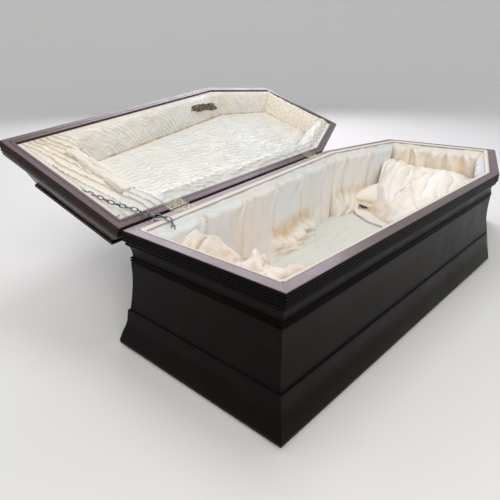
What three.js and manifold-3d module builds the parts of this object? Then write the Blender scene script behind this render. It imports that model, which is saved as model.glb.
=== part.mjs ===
// Hexagonal wooden coffin with a padded lining and a hinged, padded lid, shown with the lid laid open.
// Millimetres, +Z up. The coffin lies along X with its foot end at -X, and the lid is hinged on the +Y side.
// The origin is at the middle of the underside.

import * as THREE from 'three';
import { mergeVertices } from 'three/addons/utils/BufferGeometryUtils.js';
import Module from 'manifold-3d';

const wasm = await Module();
wasm.setup();

// Plan of the case, at the outer edge of its rim
const caseLength = 2000;
const footWidth = 570;
const shoulderWidth = 810;
const headWidth = 560;
const shoulderFromFoot = 1430;

// Timber of the case
const caseHeight = 400;
const rimWidth = 38;
const edgeChamfer = 1.5;
const bottomThickness = 18;
const bottomRebate = 10;

// Moulding under the rim of the case, from the rim down
const reedPitch = 8.5;
const reedDepth = 3;
const caseReeds = 4;
const beadHeight = 12;
const beadInset = 9;
const beadBulge = 4;
const caseCoveHeight = 34;
const caseCoveDepth = 11;
const doubleBeadPitch = 8;
const doubleBeadBulge = 5;
const fillet = 2;

// Waist and flared foot of the case, from the underside up
const waistInset = 15;
const flareHeight = 136;
const flareStep = 4;
const footOutset = 28;
const footRadius = 22;
const waistCurve = [[1, 0], [1, 0.35], [0.7, 0.7], [0.3, 1]];
const flareCurve = [[0, 1], [0.22, 0.58], [0.72, 0.24], [1, 0]];

// Lid, measured from its own rim plane
const lidHeight = 175;
const lidReeds = 3;
const lidCoveHeight = 32;
const lidCoveDepth = 46;
const lidSlopeRun = 40;
const lidWall = 20;
const crownEdgeFlat = 0.4;
const crownThickness = 18;
const crownNosing = 5;

// Hinges and the pose that the lid is shown in
const openAngle = 157.2;
const closedGap = 2;
const hingeFromFoot = [262, 1275];
const leafLength = 84;
const leafWidth = 34;
const leafThickness = 2;
const leafProud = 0.7;
const knuckleRadius = 4;
const knuckleLength = 19;
const knuckleCount = 5;
const knuckleGap = 0.4;
const pinRadius = 1.8;
const pinClearance = 0.5;
const mortiseClearance = 0.3;

// Soft lining
const liningThickness = 16;
const liningTopDrop = 5;
const mattressThickness = 32;
const padTopDrop = 9;
const padEdgeInset = 160;
const padEdgeDepth = 82;
const padRoll = 24;
const quiltThickness = 54;
const gathersLength = 90;
const gathersDrop = 12;
const gathersRound = 14;
const pillowLength = 350;
const pillowHeight = 170;
const headCoverLength = 440;
const headCoverRise = 242;
const headCoverThickness = 12;
const footCoverLength = 440;
const footCoverHeight = 215;
const coverToChainPlate = 22;

// Stay chain between the lid and the case
const chainLinks = 16;
const chainWire = 3;
const linkWidth = 14;
const chainPlateLength = 26;
const chainPlateHeight = 12;
const chainPlateThickness = 2;
const eyeRadius = 6;
const eyeWire = 2.6;
const lidPlateDrop = 2;
const lidPlateToRoll = 2;
const lidPlateFromHinge = 236;
const casePlateFromFoot = 156;
const casePlateDrop = 40;
const lidCrossing = [[105, 42], [118, 14]];
const caseCrossing = [[130, 6], [140, 36]];

// Gap between neighbouring pieces
const joinGap = 0.3;

const wood = new THREE.MeshStandardMaterial({ color: 0x2d1f1d, roughness: 0.3, metalness: 0 });
const rimWood = new THREE.MeshStandardMaterial({ color: 0x35211e, roughness: 0.35, metalness: 0 });
const satin = new THREE.MeshStandardMaterial({ color: 0xeee6d6, roughness: 0.5, metalness: 0 });
const quiltSatin = new THREE.MeshStandardMaterial({ color: 0xe9e2cf, roughness: 0.5, metalness: 0 });
const coverSatin = new THREE.MeshStandardMaterial({ color: 0xf2e2cc, roughness: 0.45, metalness: 0 });
const steel = new THREE.MeshStandardMaterial({ color: 0x8f938f, roughness: 0.45, metalness: 0.9 });
const hingeBrass = new THREE.MeshStandardMaterial({ color: 0x9a9484, roughness: 0.5, metalness: 0.85 });

const coffin = new THREE.Group();
coffin.name = 'coffin';

function addPiece(parent, name, geometry, material) {
  geometry.computeVertexNormals();
  const mesh = new THREE.Mesh(geometry, material);
  mesh.name = name;
  parent.add(mesh);
  return mesh;
}

function meshGeometry(positions, triangles) {
  const geometry = new THREE.BufferGeometry();
  geometry.setAttribute('position', new THREE.Float32BufferAttribute(positions, 3));
  geometry.setIndex(triangles);
  return geometry;
}

function solidOf(geometry) {
  const bare = geometry.clone();
  bare.deleteAttribute('normal');
  bare.deleteAttribute('uv');
  const merged = mergeVertices(bare, 1e-4);
  return new wasm.Manifold(new wasm.Mesh({
    numProp: 3,
    vertProperties: Float32Array.from(merged.attributes.position.array),
    triVerts: Uint32Array.from(merged.index.array),
  }));
}

function geometryOf(solid) {
  const { vertProperties, triVerts } = solid.getMesh();
  return meshGeometry(Array.from(vertProperties), Array.from(triVerts));
}

// The plan's corners run anticlockwise seen from above, starting at the foot end's front corner
const halfLength = caseLength / 2;
const shoulderX = shoulderFromFoot - halfLength;
const rimCorners = [
  new THREE.Vector2(-halfLength, -footWidth / 2),
  new THREE.Vector2(shoulderX, -shoulderWidth / 2),
  new THREE.Vector2(halfLength, -headWidth / 2),
  new THREE.Vector2(halfLength, headWidth / 2),
  new THREE.Vector2(shoulderX, shoulderWidth / 2),
  new THREE.Vector2(-halfLength, footWidth / 2),
];
const sideNames = ['front_side', 'front_shoulder', 'head_end', 'hinge_shoulder', 'hinge_side', 'foot_end'];
const sideCount = rimCorners.length;
const hingeSide = sideNames.indexOf('hinge_side');

function sideDirection(side) {
  const from = rimCorners[side % sideCount];
  const to = rimCorners[(side + 1) % sideCount];
  return to.clone().sub(from).normalize();
}

// The plan's corner where the two sides that meet there are both moved outwards by outset
function planCorner(index, outset) {
  const before = sideDirection((index + sideCount - 1) % sideCount);
  const after = sideDirection(index);
  const outwards = new THREE.Vector2(before.y + after.y, -before.x - after.x);
  const reach = 1 + before.dot(after);
  return rimCorners[index % sideCount].clone().addScaledVector(outwards, outset / reach);
}

// One side of the hexagon: a profile of (outset, height) points swept from mitre to mitre
function mitredSide(side, profile) {
  const points = THREE.ShapeUtils.area(profile) > 0 ? profile : profile.slice().reverse();
  const along = sideDirection(side);
  const count = points.length;
  const positions = [];
  for (const [corner, inward] of [[side, 1], [side + 1, -1]]) {
    for (const point of points) {
      const place = planCorner(corner % sideCount, point.x).addScaledVector(along, inward * joinGap / 2);
      positions.push(place.x, place.y, point.y);
    }
  }
  const triangles = [];
  for (let i = 0; i < count; i += 1) {
    const next = (i + 1) % count;
    triangles.push(i, count + i, count + next, i, count + next, next);
  }
  for (const [a, b, c] of THREE.ShapeUtils.triangulateShape(points, [])) {
    triangles.push(a, b, c, count + a, count + c, count + b);
  }
  return meshGeometry(positions, triangles);
}

// A hexagonal board or cushion, closed, whose edge follows (outset, height) points from its underside up
function hexagonPlate(edge) {
  const positions = [];
  for (const point of edge) {
    for (let corner = 0; corner < sideCount; corner += 1) {
      const place = planCorner(corner, point.x);
      positions.push(place.x, place.y, point.y);
    }
  }
  const triangles = [];
  for (let ring = 0; ring < edge.length - 1; ring += 1) {
    for (let corner = 0; corner < sideCount; corner += 1) {
      const a = ring * sideCount + corner;
      const b = ring * sideCount + (corner + 1) % sideCount;
      triangles.push(a, b, b + sideCount, a, b + sideCount, a + sideCount);
    }
  }
  const top = (edge.length - 1) * sideCount;
  for (let corner = 1; corner < sideCount - 1; corner += 1) {
    triangles.push(0, corner + 1, corner, top, top + corner, top + corner + 1);
  }
  return meshGeometry(positions, triangles);
}

// Points along a quarter of an ellipse: it leaves from along X when turnFirst is 'x', or along Y when it is 'y'
function quarterCurve(from, to, turnFirst, steps) {
  const points = [];
  for (let i = 1; i <= steps; i += 1) {
    const angle = (i / steps) * Math.PI / 2;
    const early = Math.sin(angle);
    const late = 1 - Math.cos(angle);
    const shareX = turnFirst === 'x' ? early : late;
    const shareY = turnFirst === 'x' ? late : early;
    points.push(new THREE.Vector2(from.x + (to.x - from.x) * shareX, from.y + (to.y - from.y) * shareY));
  }
  return points;
}

// A row of half-round reeds that stands proud of a line at the given outset; way is -1 downwards, 1 upwards
function reedRow(outset, start, way, count, pitch, bulge) {
  const steps = 4;
  const points = [];
  for (let i = 0; i <= count * steps; i += 1) {
    const round = Math.sin((i % steps) / steps * Math.PI);
    points.push(new THREE.Vector2(outset + bulge * round, start + way * pitch * i / steps));
  }
  return points;
}

// Outer face of the case: reeded rim, bead, cove and double bead, then a waist that flares to a rounded foot
function caseOuterFace() {
  const points = [new THREE.Vector2(-reedDepth - edgeChamfer, caseHeight)];
  points.push(...reedRow(-reedDepth, caseHeight - edgeChamfer, -1, caseReeds, reedPitch, reedDepth));
  const beadTop = caseHeight - edgeChamfer - caseReeds * reedPitch - fillet;
  points.push(new THREE.Vector2(-beadInset, beadTop + fillet));
  points.push(...reedRow(-beadInset, beadTop, -1, 1, beadHeight, beadBulge));
  const coveTop = new THREE.Vector2(-beadInset, beadTop - beadHeight);
  const coveFoot = new THREE.Vector2(-beadInset - caseCoveDepth, coveTop.y - caseCoveHeight);
  points.push(...quarterCurve(coveTop, coveFoot, 'x', 6));
  points.push(...reedRow(coveFoot.x + fillet, coveFoot.y - fillet, -1, 2, doubleBeadPitch, doubleBeadBulge));
  const waistTop = coveFoot.y - 2 * fillet - 2 * doubleBeadPitch;
  const waistDrop = waistTop - flareHeight;
  const waist = new THREE.SplineCurve(waistCurve.map(([inset, drop]) => (
    new THREE.Vector2(-waistInset * inset, waistTop - waistDrop * drop)
  )));
  points.push(...waist.getPoints(6));
  const flareTop = flareStep / 2;
  const flareRise = flareHeight - flareStep - footRadius;
  const flare = new THREE.SplineCurve(flareCurve.map(([reach, height]) => (
    new THREE.Vector2(flareTop + (footOutset - flareTop) * reach, footRadius + flareRise * height)
  )));
  points.push(...flare.getPoints(6));
  const heel = new THREE.Vector2(footOutset - footRadius * 0.8, 0);
  points.push(...quarterCurve(new THREE.Vector2(footOutset, footRadius), heel, 'y', 4));
  return points;
}

function caseProfile() {
  const rebateFace = -rimWidth + bottomRebate;
  const rebateTop = bottomThickness + joinGap;
  return [
    ...caseOuterFace(),
    new THREE.Vector2(rebateFace, 0),
    new THREE.Vector2(rebateFace, rebateTop),
    new THREE.Vector2(-rimWidth, rebateTop),
    new THREE.Vector2(-rimWidth, caseHeight - edgeChamfer),
    new THREE.Vector2(-rimWidth + edgeChamfer, caseHeight),
  ];
}

// Heights of the lid are given from its own rim plane, which closes just above the rim of the case
const lidRim = caseHeight + closedGap;
const lidBeadFoot = edgeChamfer + lidReeds * reedPitch + fillet;
const lidCoveFoot = new THREE.Vector2(-beadInset, lidBeadFoot + beadHeight);
const lidCoveTop = new THREE.Vector2(-beadInset - lidCoveDepth, lidCoveFoot.y + lidCoveHeight);
const lidSlopeFoot = new THREE.Vector2(lidCoveTop.x - fillet, lidCoveTop.y + 2 * fillet + 2 * doubleBeadPitch);
const lidSlopeTop = new THREE.Vector2(lidSlopeFoot.x - lidSlopeRun, lidHeight - crownThickness - joinGap);

// Outer face of the lid: reeded rim, bead, wide cove and double bead, then a slope up to the crown board
function lidOuterFace() {
  return [
    new THREE.Vector2(-reedDepth - edgeChamfer, 0),
    ...reedRow(-reedDepth, edgeChamfer, 1, lidReeds, reedPitch, reedDepth),
    new THREE.Vector2(-beadInset, lidBeadFoot - fillet),
    ...reedRow(-beadInset, lidBeadFoot, 1, 1, beadHeight, beadBulge),
    ...quarterCurve(lidCoveFoot, lidCoveTop, 'y', 6),
    ...reedRow(lidCoveTop.x, lidCoveTop.y + fillet, 1, 2, doubleBeadPitch, doubleBeadBulge),
    lidSlopeFoot,
    lidSlopeTop,
  ];
}

// Inner face of the lid's walls, from the top down to the rim
const lidInnerFace = [
  new THREE.Vector2(lidSlopeTop.x - lidWall * 1.3, lidSlopeTop.y),
  new THREE.Vector2(lidSlopeFoot.x - lidWall * 1.2, lidSlopeFoot.y),
  new THREE.Vector2(lidCoveTop.x - lidWall, lidCoveTop.y),
  new THREE.Vector2(-rimWidth - lidWall * 0.2, lidCoveFoot.y),
  new THREE.Vector2(-rimWidth, lidBeadFoot),
];

function lidProfile() {
  const face = [
    ...lidOuterFace(),
    ...lidInnerFace,
    new THREE.Vector2(-rimWidth, edgeChamfer),
    new THREE.Vector2(-rimWidth + edgeChamfer, 0),
  ];
  return raised(face, lidRim);
}

function raised(points, height) {
  return points.map((point) => new THREE.Vector2(point.x, point.y + height));
}

// The hinge line runs along the long side at the back. Its own frame has X from foot to head,
// Y outwards from the rim's outer edge and Z up, and starts at the foot end's corner.
const hingeStart = rimCorners[hingeSide + 1];
const hingeYaw = Math.atan2(-sideDirection(hingeSide).y, -sideDirection(hingeSide).x);
const axisOut = knuckleRadius + joinGap;
const axisHeight = caseHeight + closedGap / 2;
const hingeFrame = new THREE.Matrix4().makeRotationZ(hingeYaw).setPosition(hingeStart.x, hingeStart.y, 0);
const axisPoint = new THREE.Vector3(0, axisOut, axisHeight).applyMatrix4(hingeFrame);

// The lid is modelled closed and turned open about the hinge pins by four nested groups
const axisPlace = new THREE.Group();
axisPlace.position.copy(axisPoint);
axisPlace.rotation.z = hingeYaw;
const lidTurn = new THREE.Group();
lidTurn.rotation.x = -THREE.MathUtils.degToRad(openAngle);
const axisUnturn = new THREE.Group();
axisUnturn.rotation.z = -hingeYaw;
const lid = new THREE.Group();
lid.position.copy(axisPoint).negate();
coffin.add(axisPlace);
axisPlace.add(lidTurn);
lidTurn.add(axisUnturn);
axisUnturn.add(lid);
coffin.updateMatrixWorld(true);

// Each hinge is let into both rims: the case's leaf carries the odd knuckles and the pin
function box(lengthX, widthY, heightZ, x, y, z) {
  return solidOf(new THREE.BoxGeometry(lengthX, widthY, heightZ).translate(x, y, z));
}

function rod(radius, length, x) {
  const geometry = new THREE.CylinderGeometry(radius, radius, length, 16).rotateZ(Math.PI / 2);
  return solidOf(geometry.translate(x, axisOut, axisHeight));
}

function knuckleCentre(index) {
  return (index - (knuckleCount - 1) / 2) * knuckleLength;
}

// One leaf about its middle, for the case when upper is false or for the closed lid when it is true
function hingeLeaf(upper) {
  const way = upper ? 1 : -1;
  const nearFace = axisHeight + way * (closedGap / 2 - leafProud);
  const plateMiddle = nearFace + way * leafThickness / 2;
  let leaf = box(leafLength, leafWidth, leafThickness, 0, -leafWidth / 2, plateMiddle);
  for (let index = upper ? 1 : 0; index < knuckleCount; index += 2) {
    const x = knuckleCentre(index);
    const length = knuckleLength - knuckleGap;
    leaf = leaf.add(rod(knuckleRadius, length, x));
    leaf = leaf.add(box(length, axisOut + leafThickness, leafThickness, x, (axisOut - leafThickness) / 2, plateMiddle));
  }
  if (upper) {
    return leaf.subtract(rod(pinRadius + pinClearance, knuckleLength * knuckleCount, 0));
  }
  for (let index = 1; index < knuckleCount; index += 2) {
    const x = knuckleCentre(index);
    const swing = new THREE.CylinderGeometry(knuckleRadius + joinGap, knuckleRadius + joinGap, knuckleLength, 16);
    leaf = leaf.subtract(solidOf(swing.rotateZ(Math.PI / 2).translate(x, axisOut, axisHeight)));
  }
  return leaf.add(rod(pinRadius, knuckleLength * knuckleCount - knuckleGap, 0));
}

// The lid's leaf also keeps clear of the case's knuckles
function lidLeaf() {
  let leaf = hingeLeaf(true);
  for (let index = 0; index < knuckleCount; index += 2) {
    const swing = new THREE.CylinderGeometry(knuckleRadius + joinGap, knuckleRadius + joinGap, knuckleLength, 16);
    leaf = leaf.subtract(solidOf(swing.rotateZ(Math.PI / 2).translate(knuckleCentre(index), axisOut, axisHeight)));
  }
  return leaf;
}

function leafMortise(upper) {
  const way = upper ? 1 : -1;
  const rimPlane = axisHeight + way * closedGap / 2;
  const depth = leafThickness - leafProud + mortiseClearance;
  const length = leafLength + 2 * mortiseClearance;
  const reach = leafWidth + mortiseClearance;
  const lead = 2 * knuckleRadius;
  return box(length, reach + lead, 2 * depth, 0, (lead - reach) / 2, rimPlane);
}

function placedAtHinge(solid, fromFoot) {
  const geometry = geometryOf(solid);
  return geometry.applyMatrix4(hingeFrame.clone().multiply(new THREE.Matrix4().makeTranslation(fromFoot, 0, 0)));
}

function withMortises(geometry, upper) {
  let solid = solidOf(geometry);
  for (const fromFoot of hingeFromFoot) {
    solid = solid.subtract(solidOf(placedAtHinge(leafMortise(upper), fromFoot)));
  }
  return geometryOf(solid);
}

// Case: six mitred sides round a bottom board in a rebate
for (let side = 0; side < sideCount; side += 1) {
  const board = mitredSide(side, caseProfile());
  const geometry = side === hingeSide ? withMortises(board, false) : board;
  addPiece(coffin, `case_${sideNames[side]}`, geometry, wood);
}
const bottomOutset = -rimWidth + bottomRebate - joinGap;
addPiece(coffin, 'case_bottom', hexagonPlate([
  new THREE.Vector2(bottomOutset, 0),
  new THREE.Vector2(bottomOutset, bottomThickness),
]), wood);

// Lid: six mitred sides under a flat crown board with a rounded edge
for (let side = 0; side < sideCount; side += 1) {
  const board = mitredSide(side, lidProfile());
  const geometry = side === hingeSide ? withMortises(board, true) : board;
  addPiece(lid, `lid_${sideNames[side]}`, geometry, rimWood);
}
const crownFoot = new THREE.Vector2(lidSlopeTop.x + crownNosing, lidRim + lidHeight - crownThickness);
addPiece(lid, 'lid_crown', hexagonPlate([
  crownFoot,
  new THREE.Vector2(crownFoot.x, crownFoot.y + crownThickness * crownEdgeFlat),
  ...quarterCurve(
    new THREE.Vector2(crownFoot.x, crownFoot.y + crownThickness * crownEdgeFlat),
    new THREE.Vector2(crownFoot.x - crownThickness, crownFoot.y + crownThickness),
    'y', 4,
  ),
]), rimWood);

hingeFromFoot.forEach((fromFoot, index) => {
  const place = ['foot', 'shoulder'][index];
  addPiece(coffin, `case_hinge_leaf_${place}`, placedAtHinge(hingeLeaf(false), fromFoot), hingeBrass);
  addPiece(lid, `lid_hinge_leaf_${place}`, placedAtHinge(lidLeaf(), fromFoot), hingeBrass);
});

// Padded lining on the inside of the case, from just under the rim to the bottom board
const liningFoot = bottomThickness + joinGap;
const liningTop = caseHeight - liningTopDrop;
const liningBack = -rimWidth - joinGap;
function liningProfile() {
  const face = liningBack - liningThickness;
  const shoulder = liningThickness * 0.6;
  return [
    new THREE.Vector2(liningBack, liningFoot),
    new THREE.Vector2(liningBack, liningTop),
    ...quarterCurve(
      new THREE.Vector2(liningBack, liningTop),
      new THREE.Vector2(face, liningTop - shoulder * 2),
      'x', 4,
    ),
    new THREE.Vector2(face, liningFoot),
  ];
}
for (let side = 0; side < sideCount; side += 1) {
  addPiece(coffin, `case_lining_${sideNames[side]}`, mitredSide(side, liningProfile()), satin);
}

const innerOutset = liningBack - liningThickness - joinGap;
const mattressTop = liningFoot + mattressThickness;
addPiece(coffin, 'mattress', hexagonPlate([
  new THREE.Vector2(innerOutset, liningFoot),
  new THREE.Vector2(innerOutset, mattressTop - mattressThickness * 0.3),
  new THREE.Vector2(innerOutset - mattressThickness * 0.5, mattressTop),
]), satin);

// Half the clear width between the linings at a place along the coffin
function clearHalfWidth(x) {
  const [, , , head, shoulder, foot] = rimCorners.map((corner, index) => planCorner(index, innerOutset));
  const toHead = x > shoulder.x;
  const from = shoulder;
  const to = toHead ? head : foot;
  return from.y + (to.y - from.y) * (x - from.x) / (to.x - from.x);
}

// A soft heap between two heights, laid on a grid whose rows run across the coffin.
// Each height is a function of the shares along (0 to 1) and across (-1 to 1).
function softHeap(fromX, toX, bottomAt, topAt, stepsAlong, stepsAcross) {
  const positions = [];
  for (const heightAt of [bottomAt, topAt]) {
    for (let i = 0; i <= stepsAlong; i += 1) {
      const along = i / stepsAlong;
      const x = fromX + (toX - fromX) * along;
      for (let j = 0; j <= stepsAcross; j += 1) {
        const across = 2 * j / stepsAcross - 1;
        positions.push(x, across * (clearHalfWidth(x) - joinGap), heightAt(along, across));
      }
    }
  }
  const row = stepsAcross + 1;
  const layer = row * (stepsAlong + 1);
  const triangles = [];
  for (let i = 0; i < stepsAlong; i += 1) {
    for (let j = 0; j < stepsAcross; j += 1) {
      const a = i * row + j;
      const b = a + row;
      triangles.push(a, a + 1, b + 1, a, b + 1, b);
      triangles.push(layer + a, layer + b + 1, layer + a + 1, layer + a, layer + b, layer + b + 1);
    }
  }
  const rim = [];
  for (let i = 0; i < stepsAlong; i += 1) rim.push(i * row);
  for (let j = 0; j < stepsAcross; j += 1) rim.push(stepsAlong * row + j);
  for (let i = stepsAlong; i > 0; i -= 1) rim.push(i * row + stepsAcross);
  for (let j = stepsAcross; j > 0; j -= 1) rim.push(j);
  rim.forEach((a, index) => {
    const b = rim[(index + 1) % rim.length];
    triangles.push(a, b, layer + b, a, layer + b, layer + a);
  });
  return meshGeometry(positions, triangles);
}

function smooth(share) {
  const t = THREE.MathUtils.clamp(share, 0, 1);
  return t * t * (3 - 2 * t);
}

// Pillow against the head end, and the crumpled satin cover that is thrown over it
const softFloor = mattressTop + joinGap;
const headEnd = halfLength + innerOutset - joinGap;
const pillowEdge = 0.35 * pillowHeight;
function pillowTop(along, across) {
  const crown = smooth(along / 0.3) * smooth((1 - along) / 0.12 + 0.45) * smooth((1 - Math.abs(across)) / 0.3 + 0.3);
  return softFloor + pillowEdge + (pillowHeight - pillowEdge) * crown;
}
addPiece(coffin, 'pillow', softHeap(
  headEnd - pillowLength, headEnd, () => softFloor, pillowTop, 8, 8,
), coverSatin);

const coverGap = 1;
function headCoverBottom(along, across) {
  const fromPillow = (along * headCoverLength - (headCoverLength - pillowLength)) / pillowLength;
  if (fromPillow < 0) return softFloor;
  return pillowTop(fromPillow, across) + coverGap + pillowEdge * 0.2;
}
function headCoverTop(along, across) {
  const rise = headCoverRise * smooth(along / 0.42 + 0.04) * (0.84 + 0.16 * smooth((1 - Math.abs(across)) / 0.35));
  const creases = 7 * Math.sin(9 * along + 4 * across) + 6 * Math.sin(7 * across - 5 * along);
  const top = softFloor + rise + creases * smooth(along / 0.2) * smooth((1 - along) / 0.1);
  return Math.max(top, headCoverBottom(along, across) + headCoverThickness);
}

// The grid of the cover has a row exactly at the pillow's front edge, so that it clears it
const coverStep = headCoverLength - pillowLength;
const coverRows = Math.round(headCoverLength / coverStep) * 2;
addPiece(coffin, 'head_cover', softHeap(
  headEnd - headCoverLength, headEnd,
  (along, across) => {
    const reach = 1 / coverRows;
    return Math.max(headCoverBottom(along, across), headCoverBottom(Math.min(along + reach, 1), across));
  },
  (along, across) => {
    const reach = 1 / coverRows;
    const clear = Math.max(headCoverBottom(along, across), headCoverBottom(Math.min(along + reach, 1), across));
    return Math.max(headCoverTop(along, across), clear + headCoverThickness);
  },
  coverRows, 10,
), coverSatin);

// Cover cloth gathered in a heap at the foot end
const footEnd = -halfLength - innerOutset + joinGap;
function footCoverTop(along, across) {
  const ridge = smooth(along / 0.18 + 0.55) * smooth((1 - along) / 0.62);
  const tilt = 0.82 + 0.18 * across;
  const creases = 8 * Math.sin(10 * along + 3 * across) + 7 * Math.sin(8 * across);
  const corner = smooth((across - 0.8) / 0.2) * smooth(along / 0.2) * smooth((0.65 - along) / 0.3);
  const plain = softFloor + headCoverThickness + (footCoverHeight * tilt + creases) * ridge;
  const cornerTop = caseHeight - casePlateDrop - chainPlateHeight / 2 - coverToChainPlate;
  return plain + (cornerTop - plain) * corner;
}
addPiece(coffin, 'foot_cover', softHeap(
  footEnd, footEnd + footCoverLength, () => softFloor, footCoverTop, 10, 10,
), coverSatin);

// Six thick padded rolls round the inside of the lid, and the quilted panel under its crown
const padBack = raised(
  lidInnerFace.map((point) => new THREE.Vector2(point.x - joinGap, Math.min(point.y, lidSlopeTop.y - joinGap))),
  lidRim,
);
function lidPadProfile(topDrop) {
  const start = new THREE.Vector2(-rimWidth - joinGap, lidRim + topDrop);
  const edge = new THREE.Vector2(-padEdgeInset, lidRim + padEdgeDepth);
  const roll = new THREE.SplineCurve([
    start,
    new THREE.Vector2(start.x - padRoll, start.y + 1),
    new THREE.Vector2((start.x + edge.x) / 2 - padRoll * 0.3, (start.y * 1.35 + edge.y * 0.65) / 2),
    new THREE.Vector2(edge.x + padRoll * 0.7, edge.y - padRoll * 0.9),
    edge,
  ]);
  return [
    ...roll.getPoints(9),
    new THREE.Vector2(edge.x, padBack[0].y),
    ...padBack,
  ];
}

// The foot end's roll starts lower than the others, clear of the chain's screw plate
const footPadTopDrop = lidPlateDrop + chainPlateHeight + lidPlateToRoll;
for (let side = 0; side < sideCount; side += 1) {
  const topDrop = sideNames[side] === 'foot_end' ? footPadTopDrop : padTopDrop;
  addPiece(lid, `lid_pad_${sideNames[side]}`, mitredSide(side, lidPadProfile(topDrop)), quiltSatin);
}
const quiltBack = padBack[0].y;
const quiltEdge = -padEdgeInset - joinGap;
addPiece(lid, 'lid_crown_quilt', hexagonPlate([
  new THREE.Vector2(quiltEdge - quiltThickness * 0.4, quiltBack - quiltThickness),
  new THREE.Vector2(quiltEdge, quiltBack - quiltThickness * 0.75),
  new THREE.Vector2(quiltEdge, quiltBack),
]), quiltSatin);

// Cloth gathered in a thick bunch across the panel's foot end, between the rolls
const quiltFace = quiltBack - quiltThickness;
const gathersFoot = planCorner(0, quiltEdge).x;
const acrossLid = solidOf(hexagonPlate([
  new THREE.Vector2(quiltEdge - gathersRound, lidRim + gathersDrop),
  new THREE.Vector2(quiltEdge, lidRim + gathersDrop + gathersRound),
  new THREE.Vector2(quiltEdge, quiltFace - joinGap),
]));
const gathersRegion = box(gathersLength, 4 * halfLength, 4 * lidRim, gathersFoot + gathersLength / 2, 0, lidRim);
addPiece(lid, 'lid_foot_gathers', geometryOf(acrossLid.intersect(gathersRegion)), quiltSatin);

// Places for the chain: along the hinge line from the foot end, in from the rim's edge, and above the rim
const toOpenLid = lid.matrixWorld;
function casePlace(along, inwards, above) {
  return new THREE.Vector3(along, -inwards, caseHeight + above).applyMatrix4(hingeFrame);
}
function lidPlace(along, inwards, above) {
  return new THREE.Vector3(along, -inwards, lidRim - above).applyMatrix4(hingeFrame).applyMatrix4(toOpenLid);
}

// The chain leaves an eye on the lid's foot end, lies over both rims and ends in an eye on the lining
const chainLift = linkWidth / 2 + 2;
const footSlope = Math.tan(hingeYaw);
const lidEyeAlong = rimWidth - lidPlateFromHinge * footSlope + chainPlateThickness + eyeRadius;
const lidEyeDepth = chainPlateHeight / 2 + lidPlateDrop;
const caseEyeInwards = -innerOutset + chainPlateThickness + eyeRadius;
const caseEyeAbove = -casePlateDrop;
const chainRoute = new THREE.CatmullRomCurve3([
  lidPlace(lidEyeAlong + 2, lidPlateFromHinge - 3, -lidEyeDepth),
  lidPlace(lidEyeAlong + 20, lidPlateFromHinge - 70, 0),
  lidPlace(lidEyeAlong + 42, lidPlateFromHinge - 136, 5),
  ...lidCrossing.map(([along, inwards]) => lidPlace(along, inwards, chainLift)),
  ...caseCrossing.map(([along, inwards]) => casePlace(along, inwards, chainLift)),
  casePlace(casePlateFromFoot - 5, caseEyeInwards, -2),
  casePlace(casePlateFromFoot, caseEyeInwards, caseEyeAbove + 3),
], false, 'centripetal');

// A closed ring of round wire: an oval in X and Y that is longer along X
function wireRing(lengthX, widthY, wire, sides, stepsRound) {
  const radius = (widthY - wire) / 2;
  const straight = (lengthX - widthY) / 2;
  const positions = [];
  const triangles = [];
  for (let i = 0; i < stepsRound; i += 1) {
    const angle = 2 * Math.PI * (i + 0.5) / stepsRound;
    const outwards = new THREE.Vector3(Math.cos(angle), Math.sin(angle), 0);
    const centre = outwards.clone().multiplyScalar(radius);
    centre.x += Math.sign(outwards.x) * straight;
    for (let j = 0; j < sides; j += 1) {
      const turn = 2 * Math.PI * (j + 0.5) / sides;
      const reach = wire / 2 * Math.cos(turn);
      positions.push(centre.x + outwards.x * reach, centre.y + outwards.y * reach, wire / 2 * Math.sin(turn));
      const a = i * sides + j;
      const b = i * sides + (j + 1) % sides;
      const c = ((i + 1) % stepsRound) * sides + j;
      const d = ((i + 1) % stepsRound) * sides + (j + 1) % sides;
      triangles.push(a, c, d, a, d, b);
    }
  }
  return meshGeometry(positions, triangles);
}

const hingeAlong = new THREE.Vector3(1, 0, 0).transformDirection(hingeFrame);
const linkBite = chainWire * 0.3;
const chainPitch = chainRoute.getLength() / chainLinks;
const linkLength = chainPitch + 2 * chainWire - linkBite;
let chain = null;
for (let index = 0; index < chainLinks; index += 1) {
  const from = chainRoute.getPointAt(index / chainLinks);
  const to = chainRoute.getPointAt((index + 1) / chainLinks);
  const along = to.clone().sub(from).normalize();
  const across = hingeAlong.clone().addScaledVector(along, -along.dot(hingeAlong)).normalize();
  const normal = along.clone().cross(across);
  const upright = index % 2 === 0;
  const linkFrame = new THREE.Matrix4().makeBasis(
    along, upright ? normal : across, upright ? across.clone().negate() : normal,
  ).setPosition(from.clone().lerp(to, 0.5));
  const link = solidOf(wireRing(linkLength, linkWidth, chainWire, 6, 10).applyMatrix4(linkFrame));
  chain = chain ? chain.add(link) : link;
}
addPiece(coffin, 'stay_chain', geometryOf(chain), steel);

// A screw plate with a round eye: the plate lies in Y and Z with its back at X = 0, and the eye lies in X and Y
function chainPlate() {
  const plate = box(chainPlateThickness, chainPlateLength, chainPlateHeight, chainPlateThickness / 2, 0, 0);
  const eye = wireRing(2 * eyeRadius + eyeWire, 2 * eyeRadius + eyeWire, eyeWire, 6, 12);
  return plate.add(solidOf(eye.translate(chainPlateThickness + eyeRadius, 0, 0)));
}

const lidPlatePlace = new THREE.Vector3(lidEyeAlong, -lidPlateFromHinge, lidRim + lidEyeDepth);
lidPlatePlace.applyMatrix4(hingeFrame);
lidPlatePlace.x = -halfLength + rimWidth + joinGap;
addPiece(lid, 'lid_chain_plate', geometryOf(chainPlate()).translate(...lidPlatePlace), steel);

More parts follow.
